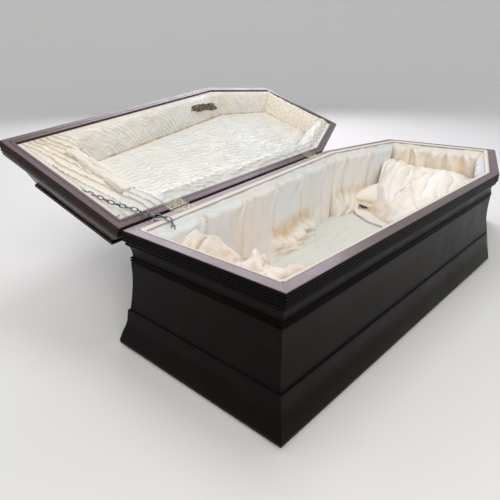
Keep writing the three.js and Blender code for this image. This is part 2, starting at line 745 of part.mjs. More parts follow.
const casePlateBasis = new THREE.Matrix4().makeBasis(
  new THREE.Vector3(0, -1, 0), new THREE.Vector3(0, 0, 1), new THREE.Vector3(-1, 0, 0),
).setPosition(casePlateFromFoot, innerOutset - joinGap, caseHeight + caseEyeAbove);
addPiece(coffin, 'case_chain_plate', geometryOf(chainPlate()).applyMatrix4(
  hingeFrame.clone().multiply(casePlateBasis),
), steel);

export default coffin;
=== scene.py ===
"""Hexagonal mahogany coffin with a tufted satin lining and a quilted lid laid open on its hinges.

Metres, +Z up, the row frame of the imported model. The foot end is at -X and the hinges are on the +Y side.
"""

import math

import bmesh
import bpy
import numpy as np
from mathutils import Matrix, Vector


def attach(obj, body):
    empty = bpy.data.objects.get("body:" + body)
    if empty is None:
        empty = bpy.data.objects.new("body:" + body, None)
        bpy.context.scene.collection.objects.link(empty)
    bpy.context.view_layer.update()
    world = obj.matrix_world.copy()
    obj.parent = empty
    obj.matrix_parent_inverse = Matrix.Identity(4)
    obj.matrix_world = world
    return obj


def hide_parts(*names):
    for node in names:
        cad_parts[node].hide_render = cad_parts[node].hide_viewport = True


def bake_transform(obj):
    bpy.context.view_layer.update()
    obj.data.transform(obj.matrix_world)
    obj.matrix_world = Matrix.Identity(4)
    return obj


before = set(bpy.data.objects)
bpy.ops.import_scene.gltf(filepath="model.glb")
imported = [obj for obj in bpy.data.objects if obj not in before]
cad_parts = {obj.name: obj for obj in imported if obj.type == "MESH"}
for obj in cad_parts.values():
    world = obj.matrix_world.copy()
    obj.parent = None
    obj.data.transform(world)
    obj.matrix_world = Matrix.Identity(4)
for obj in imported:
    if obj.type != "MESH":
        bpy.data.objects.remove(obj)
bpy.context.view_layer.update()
scene = bpy.context.scene


# Camera
# The photograph's view: from the foot end's front corner, at waist height, with a wide lens.
CAMERA_PLACE = Vector((-1.683, -0.705, 0.855))
CAMERA_YAW, CAMERA_PITCH, CAMERA_ROLL = math.radians(42.75), math.radians(-20.98), math.radians(-0.97)
FOCAL_PX, PICTURE_PX = 430.0, 500.0
OPTICAL_CENTRE_PX = (211.0, 227.2)

forward = Vector((
    math.cos(CAMERA_PITCH) * math.cos(CAMERA_YAW),
    math.cos(CAMERA_PITCH) * math.sin(CAMERA_YAW),
    math.sin(CAMERA_PITCH),
))
level_right = forward.cross(Vector((0, 0, 1))).normalized()
level_up = level_right.cross(forward)
right = math.cos(CAMERA_ROLL) * level_right + math.sin(CAMERA_ROLL) * level_up
up = math.cos(CAMERA_ROLL) * level_up - math.sin(CAMERA_ROLL) * level_right
camera = bpy.data.objects.new("camera", bpy.data.cameras.new("camera"))
scene.collection.objects.link(camera)
camera.matrix_world = Matrix.Translation(CAMERA_PLACE) @ Matrix((right, up, -forward)).transposed().to_4x4()
camera.data.sensor_width = 36.0
camera.data.lens = FOCAL_PX / PICTURE_PX * 36.0
camera.data.shift_x = (PICTURE_PX / 2 - OPTICAL_CENTRE_PX[0]) / PICTURE_PX
camera.data.shift_y = (OPTICAL_CENTRE_PX[1] - PICTURE_PX / 2) / PICTURE_PX
camera.data.clip_end = 60
scene.camera = camera
scene.view_settings.view_transform = "Standard"


# Floor and lights
# A round pale studio cove: a level floor that curves up into a wall all round. One large softbox behind is what
# the varnished rims mirror, another over the camera's right shoulder fills the folds of the satin, and a small
# one overhead evens the rest.
FLOOR_RADIUS, COVE_RADIUS, COVE_TOP = 7.0, 2.5, 5.0


def linear(hex_colour):
    """The linear RGBA of an sRGB hex colour: each channel over 12.92 near black, else its 2.4 power curve."""
    value = np.array([int(hex_colour[i:i + 2], 16) for i in (1, 3, 5)]) / 255
    curved = np.where(value <= 0.04045, value / 12.92, ((value + 0.055) / 1.055) ** 2.4)
    return (*curved.tolist(), 1.0)


def add_node(tree, kind, sockets=None, **settings):
    """A new node with its settings, and its inputs set to values or linked from other nodes' outputs."""
    node = tree.nodes.new(kind)
    for name, value in settings.items():
        setattr(node, name, value)
    for name, value in (sockets or {}).items():
        if isinstance(value, bpy.types.NodeSocket):
            tree.links.new(value, node.inputs[name])
        else:
            node.inputs[name].default_value = value
    return node


def new_material(name):
    """An empty node material and its tree."""
    material = bpy.data.materials.new(name)
    material.use_nodes = True
    material.node_tree.nodes.clear()
    return material, material.node_tree


def principled(tree, sockets):
    """The shader of a surface, joined to its material's output."""
    shader = add_node(tree, "ShaderNodeBsdfPrincipled", sockets)
    add_node(tree, "ShaderNodeOutputMaterial", {"Surface": shader.outputs["BSDF"]})


def softbox(name, place, aim, width, height, watts, tint):
    """A rectangular area light at place that faces aim."""
    light = bpy.data.lights.new(name, "AREA")
    light.shape, light.size, light.size_y, light.energy = "RECTANGLE", width, height, watts
    light.color = linear(tint)[:3]
    lamp = bpy.data.objects.new(name, light)
    lamp.matrix_world = Matrix.Translation(place) @ (
        (Vector(aim) - Vector(place)).to_track_quat("-Z", "Y").to_matrix().to_4x4())
    scene.collection.objects.link(lamp)


paper, tree = new_material("studio_paper_matt")
principled(tree, {"Base Color": linear("#f4f3f1"), "Roughness": 0.9})
cove_turn = np.linspace(0, np.pi / 2, 12)
cove_reach = np.concatenate([
    [0.001, 2.0, 4.5], FLOOR_RADIUS + COVE_RADIUS * np.sin(cove_turn), [FLOOR_RADIUS + COVE_RADIUS]])
cove_rise = np.concatenate([[0, 0, 0], COVE_RADIUS * (1 - np.cos(cove_turn)), [COVE_TOP]])
compass = np.linspace(0, 2 * np.pi, 97)[:-1]
cove = np.stack([cove_reach[:, None] * np.cos(compass), cove_reach[:, None] * np.sin(compass),
                 np.broadcast_to(cove_rise[:, None], (len(cove_rise), 96))], -1)
ring, spoke = np.arange(len(cove_rise) - 1)[:, None] * 96, np.arange(96)[None]
next_spoke = (spoke + 1) % 96
cove_faces = np.stack([ring + spoke, ring + 96 + spoke, ring + 96 + next_spoke, ring + next_spoke], -1).reshape(-1, 4)
floor_mesh = bpy.data.meshes.new("studio_floor")
floor_mesh.from_pydata(cove.reshape(-1, 3).tolist(), [], cove_faces.tolist() + [list(range(96))])
floor_mesh.shade_smooth()
floor_mesh.materials.append(paper)
studio_floor = bpy.data.objects.new("studio_floor", floor_mesh)
scene.collection.objects.link(studio_floor)

world = bpy.data.worlds.new("pale_room")
scene.world = world
world.use_nodes = True
world.node_tree.nodes.clear()
sky = add_node(world.node_tree, "ShaderNodeBackground", {"Color": linear("#f3f6fa"), "Strength": 0.50})
add_node(world.node_tree, "ShaderNodeOutputWorld", {"Surface": sky.outputs["Background"]})
softbox("rim_softbox", (3.2, 3.6, 3.1), (0.0, 0.3, 0.4), 4.2, 2.4, 120, "#f1ecf6")
softbox("key_softbox", (-2.9, -2.5, 3.3), (0.2, 0.3, 0.3), 2.6, 2.2, 90, "#fffaf0")
softbox("top_softbox", (0.6, 0.4, 4.2), (0.1, 0.4, 0.3), 1.6, 1.6, 36, "#ffffff")


# Side boards and bottom of the case
# Six mahogany boards, mitred at the corners of the hexagon and planed with a moulding: reeds at the rim, a bead,
# a cove, a double bead, a plain waist and a flared foot. They are stained dark and varnished to a gloss.
RIM_CORNERS = np.array([
    (-1.0, -0.285), (0.43, -0.405), (1.0, -0.28), (1.0, 0.28), (0.43, 0.405), (-1.0, 0.285)])
SIDES = ("front_side", "front_shoulder", "head_end", "hinge_shoulder", "hinge_side", "foot_end")
CASE_HEIGHT = 0.400
RIM_WIDTH = 0.038
EDGE_ROUND = 0.0015
REED_PITCH, REED_DEPTH, CASE_REEDS = 0.0085, 0.003, 4
BEAD_HEIGHT, BEAD_INSET, BEAD_BULGE = 0.012, 0.009, 0.004
CASE_COVE_HEIGHT, CASE_COVE_DEPTH = 0.034, 0.011
DOUBLE_BEAD_PITCH, DOUBLE_BEAD_BULGE = 0.008, 0.005
FILLET = 0.002
WAIST_INSET, FLARE_HEIGHT, FLARE_STEP = 0.015, 0.136, 0.004
FOOT_OUTSET, FOOT_RADIUS = 0.028, 0.022
WAIST_CURVE = ((1, 0), (1, 0.35), (0.7, 0.7), (0.3, 1))
FLARE_CURVE = ((0, 1), (0.22, 0.58), (0.72, 0.24), (1, 0))
BOTTOM_THICKNESS, BOTTOM_REBATE = 0.018, 0.010
JOIN_GAP = 0.0003


def side_direction(side):
    """The unit vector along one side of the hexagon, anticlockwise."""
    step = RIM_CORNERS[(side + 1) % 6] - RIM_CORNERS[side % 6]
    return step / np.hypot(*step)


def plan_corner(index, outset):
    """The hexagon's corner with both its sides moved outwards: the corner plus the sum of the two outward
    normals times outset, over one plus the cosine between the sides. Outset may be an array."""
    before, after = side_direction(index - 1), side_direction(index)
    outwards = np.array([before[1] + after[1], -before[0] - after[0]])
    return RIM_CORNERS[index % 6] + np.multiply.outer(np.asarray(outset, float), outwards / (1 + before @ after))


def smooth_curve(points, steps):
    """A centripetal Catmull-Rom curve through the points: each span mixes its four neighbours by the
    cubic Hermite basis, with tangents from knots that are the square roots of the chord lengths apart."""
    p = np.asarray(points, float)
    p = np.concatenate([[2 * p[0] - p[1]], p, [2 * p[-1] - p[-2]]])
    knot = np.maximum(np.linalg.norm(np.diff(p, axis=0), axis=1), 1e-9) ** 0.5
    before, here, after = knot[:-2, None], knot[1:-1, None], knot[2:, None]
    slope_in = (p[1:-2] - p[:-3]) / before - (p[2:-1] - p[:-3]) / (before + here) + (p[2:-1] - p[1:-2]) / here
    slope_out = (p[2:-1] - p[1:-2]) / here - (p[3:] - p[1:-2]) / (here + after) + (p[3:] - p[2:-1]) / after
    t = np.linspace(0, 1, steps, endpoint=False)[None, :, None]
    a, b = p[1:-2, None], p[2:-1, None]
    m, n = (slope_in * here)[:, None], (slope_out * here)[:, None]
    spans = (2 * t**3 - 3 * t**2 + 1) * a + (t**3 - 2 * t**2 + t) * m + (3 * t**2 - 2 * t**3) * b + (t**3 - t**2) * n
    return np.concatenate([spans.reshape(-1, p.shape[1]), p[-2:-1]])


def reed_row(outset, start, way, count, pitch, bulge, steps=8):
    """Half-round reeds one after the other: the outset grows by bulge times the sine of the share of each reed."""
    i = np.arange(count * steps + 1)
    return np.stack([outset + bulge * np.sin((i % steps) / steps * np.pi), start + way * pitch * i / steps], -1)


def quarter_curve(start, end, turn_first, steps=10):
    """A quarter of an ellipse: the sine of the share on the first axis, one less the cosine on the other."""
    angle = np.arange(1, steps + 1) / steps * np.pi / 2
    early, late = np.sin(angle), 1 - np.cos(angle)
    share = np.stack([early, late] if turn_first == "x" else [late, early], -1)
    return np.asarray(start) + (np.asarray(end) - np.asarray(start)) * share


def finish_mesh(name, points, faces, uv=None, creases=None, sharp=math.radians(32), torn=None):
    """A new object at the origin from points and faces, smooth but for edges sharper than an angle.
    Uv is one pair for each point, and creases one value for each point, by which the materials paint shade,
    and on the hinges grime as well."""
    mesh = bpy.data.meshes.new(name)
    mesh.from_pydata(np.asarray(points, float).reshape(-1, 3).tolist(), [], [list(map(int, f)) for f in faces])
    mesh.validate()
    if uv is not None:
        corners = np.empty(len(mesh.loops), np.int32)
        mesh.loops.foreach_get("vertex_index", corners)
        layer = mesh.uv_layers.new(name="surface")
        layer.data.foreach_set("uv", np.asarray(uv, np.float32).reshape(-1, 2)[corners].ravel())
    if creases is not None:
        layer = mesh.attributes.new("crease", "FLOAT", "POINT")
        layer.data.foreach_set("value", np.asarray(creases, np.float32).ravel())
    if torn is not None:
        layer = mesh.attributes.new("torn", "FLOAT", "POINT")
        layer.data.foreach_set("value", np.asarray(torn, np.float32).ravel())
    mesh.shade_smooth()
    mesh.set_sharp_from_angle(angle=sharp)
    piece = bpy.data.objects.new(name, mesh)
    scene.collection.objects.link(piece)
    return piece


def grid_faces(rows, columns, around=False, start=0):
    """The quads of a grid of points, numbered row by row. Around joins each row's last point to its first."""
    i = np.arange(rows - 1)[:, None]
    j = np.arange(columns if around else columns - 1)[None, :]
    k = (j + 1) % columns
    quads = np.stack([i * columns + j, i * columns + k, (i + 1) * columns + k, (i + 1) * columns + j], -1)
    return (quads.reshape(-1, 4) + start).tolist()


def tube_faces(rows, columns):
    """The quads of a tube of rings of points, closed by a face at each end."""
    ends = [list(range(columns))[::-1], list(range((rows - 1) * columns, rows * columns))]
    return grid_faces(rows, columns, around=True) + ends


def run_along(line):
    """How far each point lies along a line from its first point."""
    return np.append(0, np.cumsum(np.linalg.norm(np.diff(line, axis=0), axis=1)))


def mitred_board(name, side, profile):
    """A closed profile of (outset, height) carried along one side between the mitre planes of its corners.
    The map runs along the board in u and round the profile in v, both in metres."""
    along = np.append(side_direction(side), 0)
    ends = []
    for corner, inward in ((side, 1), (side + 1, -1)):
        place = np.column_stack([plan_corner(corner, profile[:, 0]), profile[:, 1]])
        ends.append(place + along * inward * JOIN_GAP / 2)
    points = np.stack(ends)
    count = len(profile)
    round_length = run_along(profile)
    uv = np.stack([points @ along, np.broadcast_to(round_length, (2, count))], -1)
    board = finish_mesh(name, points, [f[::-1] for f in tube_faces(2, count)], uv)
    outward_check(board)
    return board


def outward_check(piece):
    """Turns a closed piece's faces round if the volume that they enclose comes out negative."""
    mesh = piece.data
    mesh.calc_loop_triangles()
    corner = np.empty(len(mesh.vertices) * 3)
    mesh.vertices.foreach_get("co", corner)
    corner = corner.reshape(-1, 3)
    index = np.empty(len(mesh.loop_triangles) * 3, np.int32)
    mesh.loop_triangles.foreach_get("vertices", index)
    a, b, c = corner[index.reshape(-1, 3)].transpose(1, 0, 2)
    if np.sum(a * np.cross(b, c)) < 0:
        mesh.flip_normals()


def hexagon_plate(name, edge):
    """A closed hexagonal board whose edge follows (outset, height) points from its underside up."""
    points = np.stack([np.column_stack([plan_corner(i, edge[:, 0]), edge[:, 1]]) for i in range(6)], 1)
    plate = finish_mesh(name, points, tube_faces(len(edge), 6), points[..., :2])
    outward_check(plate)
    return plate


def case_profile():
    """The section of a case board, from the rim's outer edge down the moulding and back up the inner face."""
    bead_top = CASE_HEIGHT - EDGE_ROUND - CASE_REEDS * REED_PITCH - FILLET
    cove_top = np.array([-BEAD_INSET, bead_top - BEAD_HEIGHT])
    cove_foot = cove_top + (-CASE_COVE_DEPTH, -CASE_COVE_HEIGHT)
    waist_top = cove_foot[1] - 2 * FILLET - 2 * DOUBLE_BEAD_PITCH
    waist = [(-WAIST_INSET * inset, waist_top - (waist_top - FLARE_HEIGHT) * drop) for inset, drop in WAIST_CURVE]
    flare_top, flare_rise = FLARE_STEP / 2, FLARE_HEIGHT - FLARE_STEP - FOOT_RADIUS
    flare = [(flare_top + (FOOT_OUTSET - flare_top) * reach, FOOT_RADIUS + flare_rise * height)
             for reach, height in FLARE_CURVE]
    rebate = -RIM_WIDTH + BOTTOM_REBATE
    return np.concatenate([
        [(-REED_DEPTH - EDGE_ROUND, CASE_HEIGHT)],
        reed_row(-REED_DEPTH, CASE_HEIGHT - EDGE_ROUND, -1, CASE_REEDS, REED_PITCH, REED_DEPTH),
        [(-BEAD_INSET, bead_top + FILLET)],
        reed_row(-BEAD_INSET, bead_top, -1, 1, BEAD_HEIGHT, BEAD_BULGE),
        quarter_curve(cove_top, cove_foot, "x"),
        reed_row(cove_foot[0] + FILLET, cove_foot[1] - FILLET, -1, 2, DOUBLE_BEAD_PITCH, DOUBLE_BEAD_BULGE),
        smooth_curve(waist, 5),
        smooth_curve(flare, 6),
        quarter_curve((FOOT_OUTSET, FOOT_RADIUS), (FOOT_OUTSET - FOOT_RADIUS * 0.8, 0), "y"),
        [(rebate, 0), (rebate, BOTTOM_THICKNESS + JOIN_GAP), (-RIM_WIDTH, BOTTOM_THICKNESS + JOIN_GAP),
         (-RIM_WIDTH, CASE_HEIGHT - EDGE_ROUND), (-RIM_WIDTH + EDGE_ROUND, CASE_HEIGHT)],
    ])


def two_tones(tree, factor, places, tones):
    """The colour of a ramp that goes from the first tone to the second between two places."""
    ramp = add_node(tree, "ShaderNodeValToRGB", {"Fac": factor})
    for stop, place, tone in zip(ramp.color_ramp.elements, places, tones):
        stop.position, stop.color = place, linear(tone)
    return ramp.outputs["Color"]


def varnished_mahogany(name, dark, light, red, gloss, polish):
    """Mahogany stained almost black under a brushed and rubbed varnish. The grain runs along each board, with
    pores about 0.4 mm wide drawn 2 mm wide so that they show, and reddish wood where the edges are rubbed."""
    material, tree = new_material(name)
    place = add_node(tree, "ShaderNodeUVMap", uv_map="surface")
    stretch = add_node(tree, "ShaderNodeMapping", {"Vector": place.outputs["UV"], "Scale": (3.0, 60.0, 1.0)})
    figure = add_node(tree, "ShaderNodeTexNoise", {
        "Vector": stretch.outputs["Vector"], "Scale": 1.0, "Detail": 5.0, "Roughness": 0.6, "Distortion": 0.6})
    pores = add_node(tree, "ShaderNodeMapping", {"Vector": place.outputs["UV"], "Scale": (12.0, 500.0, 1.0)})
    pore = add_node(tree, "ShaderNodeTexNoise", {"Vector": pores.outputs["Vector"], "Scale": 1.0, "Detail": 2.0})
    stain_and_warm_glow = two_tones(tree, figure.outputs["Fac"], (0.35, 0.72), (dark, light))
    wear = add_node(tree, "ShaderNodeTexCoord")
    patches = add_node(tree, "ShaderNodeTexNoise", {
        "Vector": wear.outputs["Object"], "Scale": 9.0, "Detail": 4.0, "Roughness": 0.65})
    worn = add_node(tree, "ShaderNodeMapRange", {
        "Value": patches.outputs["Fac"], "From Min": 0.5, "From Max": 0.8, "To Min": 0.0, "To Max": 0.55})
    colour = add_node(tree, "ShaderNodeMix", {
        "Factor": worn.outputs["Result"], "A": stain_and_warm_glow, "B": linear(red)}, data_type="RGBA")
    rough = add_node(tree, "ShaderNodeMapRange", {
        "Value": patches.outputs["Fac"], "From Min": 0.3, "From Max": 0.8, "To Min": polish, "To Max": polish + 0.14})
    bump = add_node(tree, "ShaderNodeBump", {
        "Height": pore.outputs["Fac"], "Strength": 0.12, "Distance": 0.0006})
    principled(tree, {
        "Base Color": colour.outputs["Result"], "Roughness": rough.outputs["Result"], "IOR": 1.5,
        "Specular IOR Level": gloss, "Normal": bump.outputs["Normal"]})
    return material


RIM_REACH = 0.0012


def lay_rim(board, rim_height, rim_material):
    """Gives the flat rim faces of a board, which are the level ones within 1.2 mm of the rim's height, their
    own finish, whose pale mauve is a painted reflection of the sky in the varnish."""
    mesh = board.data
    mesh.materials.append(rim_material)
    height = np.empty(len(mesh.polygons) * 3, np.float32)
    mesh.polygons.foreach_get("center", height)
    flat = np.empty(len(mesh.polygons) * 3, np.float32)
    mesh.polygons.foreach_get("normal", flat)
    on_rim = (np.abs(height[2::3] - rim_height) < RIM_REACH) & (np.abs(flat[2::3]) > 0.6)
    mesh.polygons.foreach_set("material_index", on_rim.astype(np.int32))


case_mahogany = varnished_mahogany("varnished_mahogany_case", "#080606", "#110c0a", "#1b100e", 0.07, 0.30)
# The rims' pale mauve is a painted reflection of the bright sky in the varnish; the reddish patches are wear.
rim_mahogany_painted_reflection = varnished_mahogany("mahogany_rim_painted_reflection", "#554548", "#75646a", "#6b453d", 0.5, 0.24)
for side, name in enumerate(SIDES):
    board = mitred_board(f"board_{name}", side, case_profile())
    board.data.materials.append(case_mahogany)
    lay_rim(board, CASE_HEIGHT, rim_mahogany_painted_reflection)
    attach(board, "case")
    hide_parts(f"case_{name}")
bottom_outset = -RIM_WIDTH + BOTTOM_REBATE - JOIN_GAP
bottom_board = hexagon_plate("bottom_board", np.array([
    (bottom_outset - EDGE_ROUND, 0), (bottom_outset, EDGE_ROUND), (bottom_outset, BOTTOM_THICKNESS)]))
bottom_board.data.materials.append(case_mahogany)
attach(bottom_board, "case")
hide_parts("case_bottom")


# Side boards and crown of the lid
# The lid is a shallow tray of six mitred mahogany boards with the same reeds and beads, a wide cove and a slope
# up to a flat crown board with a rounded edge. It is laid back on its hinges, so its rim faces up.
LID_HEIGHT = 0.175
LID_REEDS = 3
LID_COVE_HEIGHT, LID_COVE_DEPTH, LID_SLOPE_RUN = 0.032, 0.046, 0.040
LID_WALL = 0.020
CROWN_THICKNESS, CROWN_NOSING, CROWN_EDGE_FLAT = 0.018, 0.005, 0.4
CLOSED_GAP = 0.002
LID_GROOVE = 0.025
OPEN_ANGLE = math.radians(157.2)
LID_RIM = CASE_HEIGHT + CLOSED_GAP
KNUCKLE_RADIUS = 0.004
AXIS_OUT, AXIS_HEIGHT = KNUCKLE_RADIUS + JOIN_GAP, CASE_HEIGHT + CLOSED_GAP / 2
HINGE_ALONG = np.append(-side_direction(4), 0)
HINGE_OUT = np.array([-HINGE_ALONG[1], HINGE_ALONG[0], 0])
HINGE_START = np.append(RIM_CORNERS[5], 0)
AXIS_POINT = HINGE_START + HINGE_OUT * AXIS_OUT + (0, 0, AXIS_HEIGHT)
LID_TURN = np.array(Matrix.Rotation(-OPEN_ANGLE, 3, Vector(HINGE_ALONG)))

lid_bead_foot = EDGE_ROUND + LID_REEDS * REED_PITCH + FILLET
lid_cove_foot = np.array([-BEAD_INSET, lid_bead_foot + BEAD_HEIGHT])
lid_cove_top = lid_cove_foot + (-LID_COVE_DEPTH, LID_COVE_HEIGHT)
lid_slope_foot = lid_cove_top + (-FILLET, 2 * FILLET + 2 * DOUBLE_BEAD_PITCH)
lid_slope_top = np.array([lid_slope_foot[0] - LID_SLOPE_RUN, LID_HEIGHT - CROWN_THICKNESS - JOIN_GAP])
lid_inner_face = [
    (lid_slope_top[0] - LID_WALL * 1.3, lid_slope_top[1]), (lid_slope_foot[0] - LID_WALL * 1.2, lid_slope_foot[1]),
    (lid_cove_top[0] - LID_WALL, lid_cove_top[1]), (-RIM_WIDTH - LID_WALL * 0.2, lid_cove_foot[1]),
    (-RIM_WIDTH, lid_bead_foot)]


def opened(points):
    """Points given with the lid closed, turned about the hinge pins to where the open lid lies."""
    return (np.asarray(points, float) - AXIS_POINT) @ LID_TURN.T + AXIS_POINT


def open_up(piece):
    """Turns a piece's mesh from the closed lid's place to the open one's."""
    place = Matrix.Translation(AXIS_POINT) @ Matrix(LID_TURN.tolist()).to_4x4() @ Matrix.Translation(-AXIS_POINT)
    piece.data.transform(place)
    return piece


def lid_profile():
    """The section of a lid board, from the rim's outer edge up the moulding and back down the inner face."""
    profile = np.concatenate([
        [(-REED_DEPTH - EDGE_ROUND, 0)],
        reed_row(-REED_DEPTH, EDGE_ROUND, 1, LID_REEDS, REED_PITCH, REED_DEPTH),
        [(-BEAD_INSET, lid_bead_foot - FILLET)],
        reed_row(-BEAD_INSET, lid_bead_foot, 1, 1, BEAD_HEIGHT, BEAD_BULGE),
        quarter_curve(lid_cove_foot, lid_cove_top, "y"),
        reed_row(lid_cove_top[0], lid_cove_top[1] + FILLET, 1, 2, DOUBLE_BEAD_PITCH, DOUBLE_BEAD_BULGE),
        [lid_slope_foot, lid_slope_top, *lid_inner_face, (-RIM_WIDTH, EDGE_ROUND), (-RIM_WIDTH + EDGE_ROUND, 0),
         (-LID_GROOVE - 0.0011, 0), (-LID_GROOVE - 0.0006, 0.0016), (-LID_GROOVE + 0.0006, 0.0016),
         (-LID_GROOVE + 0.0011, 0)],
    ])
    return profile + (0, LID_RIM)


lid_mahogany = varnished_mahogany("varnished_mahogany_lid", "#1a100f", "#33201c", "#4a2a24", 0.3, 0.22)
for side, name in enumerate(SIDES):
    board = mitred_board(f"lid_board_{name}", side, lid_profile())
    board.data.materials.append(lid_mahogany)
    lay_rim(board, LID_RIM, rim_mahogany_painted_reflection)
    open_up(board)
    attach(board, "lid")
    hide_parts(f"lid_{name}")
crown_foot = np.array([lid_slope_top[0] + CROWN_NOSING, LID_RIM + LID_HEIGHT - CROWN_THICKNESS])
crown_flat = crown_foot + (0, CROWN_THICKNESS * CROWN_EDGE_FLAT)
crown_board = open_up(hexagon_plate("crown_board", np.concatenate([
    [crown_foot, crown_flat], quarter_curve(crown_flat, crown_foot + (-CROWN_THICKNESS, CROWN_THICKNESS), "y")])))
crown_board.data.materials.append(lid_mahogany)
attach(crown_board, "lid")
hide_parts("lid_crown")


# Hinges
# Two butt hinges of pressed brass gone grey, let into both rims. Each leaf has a raised border round rosettes and
# leaves in low relief, three screws, and its share of five ringed knuckles on one pin.
HINGES_FROM_FOOT = {"foot": 0.262, "shoulder": 1.275}
LEAF_LENGTH, LEAF_WIDTH, LEAF_THICKNESS, LEAF_PROUD = 0.084, 0.034, 0.002, 0.0007
PRESSED_SHARE, PRESSED_TOP = 0.46, 0.00135
KNUCKLE_LENGTH, KNUCKLE_COUNT, KNUCKLE_GAP, PIN_RADIUS = 0.019, 5, 0.0004, 0.0018


def slab_faces(rows, columns):
    """The faces that make one closed skin of two grids of the same size: both grids and a band round them."""
    count = rows * columns
    k = np.arange(count).reshape(rows, columns)
    border = np.concatenate([k[0, :-1], k[:-1, -1], k[-1, :0:-1], k[:0:-1, 0]])
    after = np.roll(border, -1)
    band = np.stack([after, border, border + count, after + count], -1).tolist()
    return grid_faces(rows, columns) + [f[::-1] for f in grid_faces(rows, columns, start=count)] + band


def joined(parts):
    """Several (points, faces, creases) parts as one: each part's faces are counted on from the last part's
    points."""
    points, faces, creases, start = [], [], [], 0
    for part, part_faces, part_creases in parts:
        points.append(np.reshape(part, (-1, 3)))
        creases.append(np.ravel(part_creases))
        faces += [[k + start for k in face] for face in part_faces]
        start += len(points[-1])
    return np.concatenate(points), faces, np.concatenate(creases)


def eased(share):
    """The cubic smoothstep from 0 to 1, level at both ends."""
    t = np.clip(share, 0, 1)
    return t * t * (3 - 2 * t)


def leaf_relief(a, i):
    """Height of the pressed pattern: a border 2.5 mm wide, a rosette of six petals in the middle between two
    of eight, leaves as waves that curl round them, and three flat screw heads with a slot."""
    edge = np.minimum(np.minimum(a + LEAF_LENGTH / 2, LEAF_LENGTH / 2 - a), np.minimum(i, LEAF_WIDTH - i))
    height = 0.0009 * (1 - eased((edge - 0.0022) / 0.0012))
    inside = eased((edge - 0.003) / 0.002)
    pattern = 0.35 + 0.35 * np.sin(a / 0.0021 + 3 * np.sin(i / 0.0045)) * np.sin(i / 0.0019 + 2 * np.cos(a / 0.006))
    for centre, petals in ((-0.024, 8), (0.0, 6), (0.024, 8)):
        r, turn = np.hypot(a - centre, i - LEAF_WIDTH / 2), np.arctan2(i - LEAF_WIDTH / 2, a - centre)
        bloom = (0.6 + 0.4 * np.cos(petals * turn)) * np.exp(-((r - 0.0045) / 0.003) ** 2)
        pattern = pattern * eased((r - 0.008) / 0.003) + bloom
    height = height + 0.0009 * pattern * inside
    for screw_a, screw_i in ((-0.034, 0.010), (0.034, 0.010), (0.012, 0.027)):
        r = np.hypot(a - screw_a, i - screw_i)
        head = 1 - eased((r - 0.0030) / 0.0006)
        slot_cut = (np.abs(a - screw_a + 0.4 * (i - screw_i)) < 0.0005) * 0.0004
        height = height * (1 - head) + (0.0008 - slot_cut) * head
    return height


def turned_part(start, length, radius, rings, steps=40, sides=24):
    """A closed turned barrel along the hinge line: its radius dips by a tenth at each ring and rounds off over
    its last 0.8 mm. Returns points in the hinge frame (along, out, up), faces and how deep each point lies,
    which darkens the ring grooves with grime and painted shade."""
    x = np.linspace(0, 1, steps)
    end = np.minimum(x, 1 - x) * length
    groove = 0.10 * (0.5 + 0.5 * np.cos(2 * np.pi * rings * x)) ** 6
    r = radius * (1 - groove) * (0.86 + 0.14 * eased(end / 0.0008) ** 0.5)
    turn = np.arange(sides) / sides * 2 * np.pi
    points = np.stack([np.broadcast_to((start + x * length)[:, None], (steps, sides)),
                       AXIS_OUT + r[:, None] * np.cos(turn), AXIS_HEIGHT + r[:, None] * np.sin(turn)], -1)
    return points, tube_faces(steps, sides), np.repeat(np.clip(1 - r / radius, 0, 0.1)[:, None] * 8, sides, 1)


